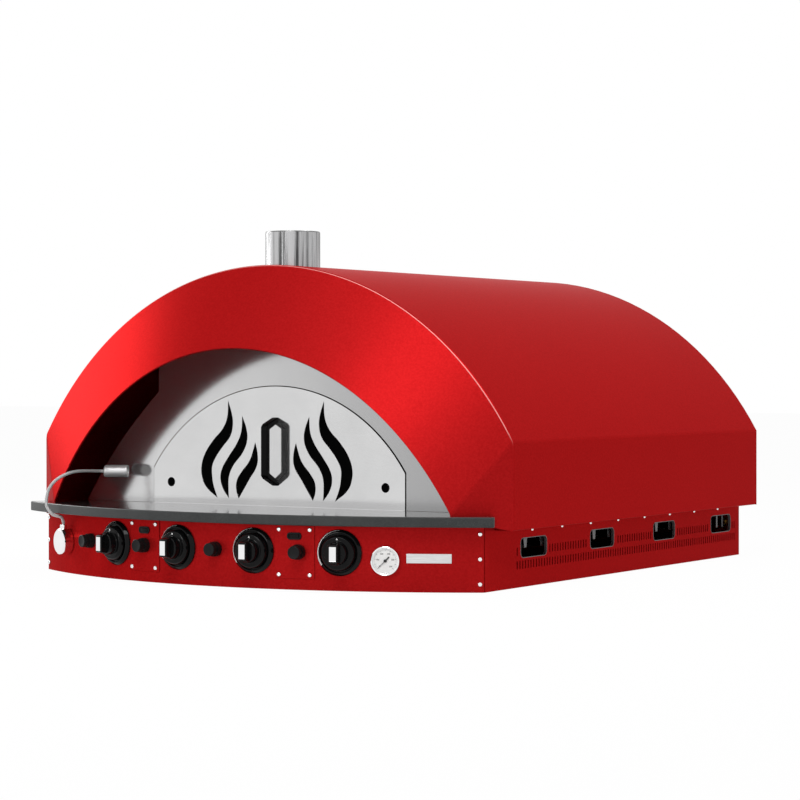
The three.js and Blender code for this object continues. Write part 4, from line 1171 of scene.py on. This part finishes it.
def model_gauge():
    angle = joint_angle("pointer_sweep")
    z = joints["pointer_sweep"]["pos_m"][2]
    radius = GAUGE_R
    case = turned("gauge_ring", [
        (0.0050, -0.0700), (0.0050, 0.0003), (radius - 0.002, 0.0003), (radius, 0.0015),
        (radius, 0.0066), (radius - 0.0006, 0.0082), (radius - 0.0020, 0.0090), (radius - 0.0032, 0.0084),
        (radius - 0.0036, 0.0072), (radius - 0.0036, 0.0032)], 72)
    place_on_bow(case, angle, z)
    hand_over(case, CHROME, "oven", "brushed_stainless", "gauge_case", smooth=24)
    dial = turned("gauge_face", [
        (radius - 0.0042, 0.0033), (radius - 0.0042, 0.0038), (radius - 0.0047, 0.0040)], 64)
    place_on_bow(dial, angle, z)
    hand_over(dial, ENAMEL, "oven", "white_enamel", "gauge_dial")

    marks = []
    face = -0.0041
    for k in range(DIAL_STEPS + 1):
        a = DIAL_START - DIAL_SWEEP * k / DIAL_STEPS
        major = k % 5 == 0
        length, wide = (0.0034, 0.00042) if major else (0.0018, 0.00022)
        tick = boxed("tick", (radius - 0.0060 - length, face - 0.0001, -wide / 2),
                     (radius - 0.0060, face + 0.0003, wide / 2))
        marks.append(set_down(tick, tip=(0, -a, 0)))
    for k in range(6):
        a = DIAL_START - DIAL_SWEEP * k / 5
        text = bpy.data.curves.new("number", "FONT")
        text.body = str(k * 100)
        text.size = 0.0042
        text.extrude = 0.0001
        text.align_x = text.align_y = "CENTER"
        label = as_mesh("number", text)
        open_up(label)
        close_up(label)
        reach = radius - 0.0135
        marks.append(set_down(label, tip=(math.pi / 2, 0, 0),
                              place=(reach * math.cos(a), face - 0.0001, reach * math.sin(a))))
    print_layer = join(*marks)
    print_layer.name = "gauge_scale"
    place_on_bow(print_layer, angle, z)
    hand_over(print_layer, PRINT, "oven", "black_plastic")

    needle = boxed("gauge_needle", (-0.0006, -0.0056, -0.0203), (0.0006, -0.0048, 0.0))
    open_up(needle)
    pick(needle, "VERT", lambda v: v.co.z < -0.015)
    resize(0.25, 1, 1)
    leave()
    tail = boxed("tail", (-0.0013, -0.0056, -0.0010), (0.0013, -0.0048, 0.0110))
    ease(tail, 0.0003, 2)
    hub = turned("hub", [(0.0030, 0.0043), (0.0030, 0.0062), (0.0026, 0.0067), (0.0012, 0.0069)],
                 24)
    needle = join(needle, tail, hub)
    set_down(needle, tip=(0, math.pi / 4, 0))
    place_on_bow(needle, angle, z)
    hand_over(needle, PRINT, "pointer", "black_plastic", "gauge_pointer")


def model_blank_plate():
    plate = like_node("blank_plate", "name_plate")
    ease(plate, 0.0003, 2, 40)
    hand_over(plate, BRUSHED, "oven", "brushed_stainless", "name_plate")


# ------------------------------------------------------------------ lamp
def model_lamp():
    angle = node_angle("lamp_base")
    r = LAMP_R
    z = low("lamp_base").z + r
    puck = turned("lamp_puck", [
        (r - 0.0010, 0.0003), (r, 0.0012), (r, 0.0190), (r - 0.0008, 0.0215), (r - 0.0030, 0.0234),
        (r - 0.0070, 0.0240)], 72)
    place_on_bow(puck, angle, z)
    stub = on_bow(angle, 0.012)
    top = high("lamp_base").z
    socket = turned("socket", [
        (0.0070, 0.0), (0.0070, 0.0120), (0.0064, 0.0140), (0.0050, 0.0141), (0.0050, 0.0042)], 32)
    set_down(socket, tip=(-math.pi / 2, 0, 0), place=(stub.x, stub.y, top - 0.0141))
    join(puck, socket)
    hand_over(puck, CHROME, "oven", "chrome", "lamp_base", smooth=28)

    # the neck: a wound sleeve, drawn as a tube whose rings alternate
    path = [Vector(p) * MM for p in ((0, 0, -9), (0, 0, 5), *NECK_PATH)]
    reach = Vector(NECK_REACH) * MM
    aim = Vector((2, 1, 0)).normalized()
    path += [reach + aim * along * MM for along in (-14, -7, 0, 6)]
    path = smooth_path([Vector((stub.x, stub.y, top)) + p for p in path])
    curve = bpy.data.curves.new("lamp_gooseneck", "CURVE")
    curve.dimensions = "3D"
    curve.bevel_depth = 0.001
    curve.bevel_resolution = 3
    curve.use_fill_caps = True
    spline = curve.splines.new("POLY")
    spline.points.add(len(path) - 1)
    for k, (point, place) in enumerate(zip(spline.points, path)):
        point.co = (*place, 1)
        point.radius = 3.5 if k % 2 else 3.15
    neck = as_mesh("lamp_gooseneck", curve)
    open_up(neck)
    close_up(neck)
    hand_over(neck, SLEEVE, "lamp", "white_sleeve", "lamp_neck", smooth=60)

    r = 0.013
    head = turned("lamp_barrel", [
        (0.0040, 0.0), (0.0112, 0.0), (0.0124, 0.0012), (r, 0.0030), (r, 0.0066), (0.0123, 0.0070),
        (0.0123, 0.0078), (r, 0.0082), (r, 0.0092), (0.0123, 0.0096), (0.0123, 0.0104), (r, 0.0108),
        (r, 0.0440), (0.0124, 0.0444), (0.0124, 0.0452), (r, 0.0456), (r, 0.0494), (0.0126, 0.0500),
        (0.0112, 0.0500), (0.0106, 0.0490), (0.0102, 0.0450)], 48)
    lens = turned("lamp_lens", [
        (0.0100, 0.0452), (0.0100, 0.0462), (0.0070, 0.0474), (0.0030, 0.0480)], 32)
    place = Vector((stub.x, stub.y, top)) + reach
    turn = math.atan2(aim.y, aim.x) + math.pi / 2
    for piece, finish, slot, replaced in ((head, ALUMINIUM, "lamp_aluminium", ["lamp_head"]),
                                          (lens, ENAMEL, "white_enamel", [])):
        set_down(piece, turn=turn, place=place)
        hand_over(piece, finish, "lamp", slot, *replaced, smooth=28)


def smooth_path(points):
    """Points along a Catmull-Rom curve through the given ones, a coil apart."""
    padded = [2 * points[0] - points[1], *points, 2 * points[-1] - points[-2]]
    path = []
    for a, b, c, d in zip(padded, padded[1:], padded[2:], padded[3:]):
        count = max(2, round((c - b).length / NECK_COIL))
        for k in range(count):
            t = k / count
            path.append(0.5 * (2 * b + (c - a) * t + (2 * a - 5 * b + 4 * c - d) * t ** 2
                               + (3 * b - a - 3 * c + d) * t ** 3))
    return [*path, points[-1]]


finish_frame_nodes()
add_camera()
model_hood()
model_flue()
model_side_panels()
model_shelf()
model_service_plates()
model_screws()
model_door()
model_knobs()
model_igniters()
model_switches()
model_gauge()
model_blank_plate()
model_lamp()
add_studio()
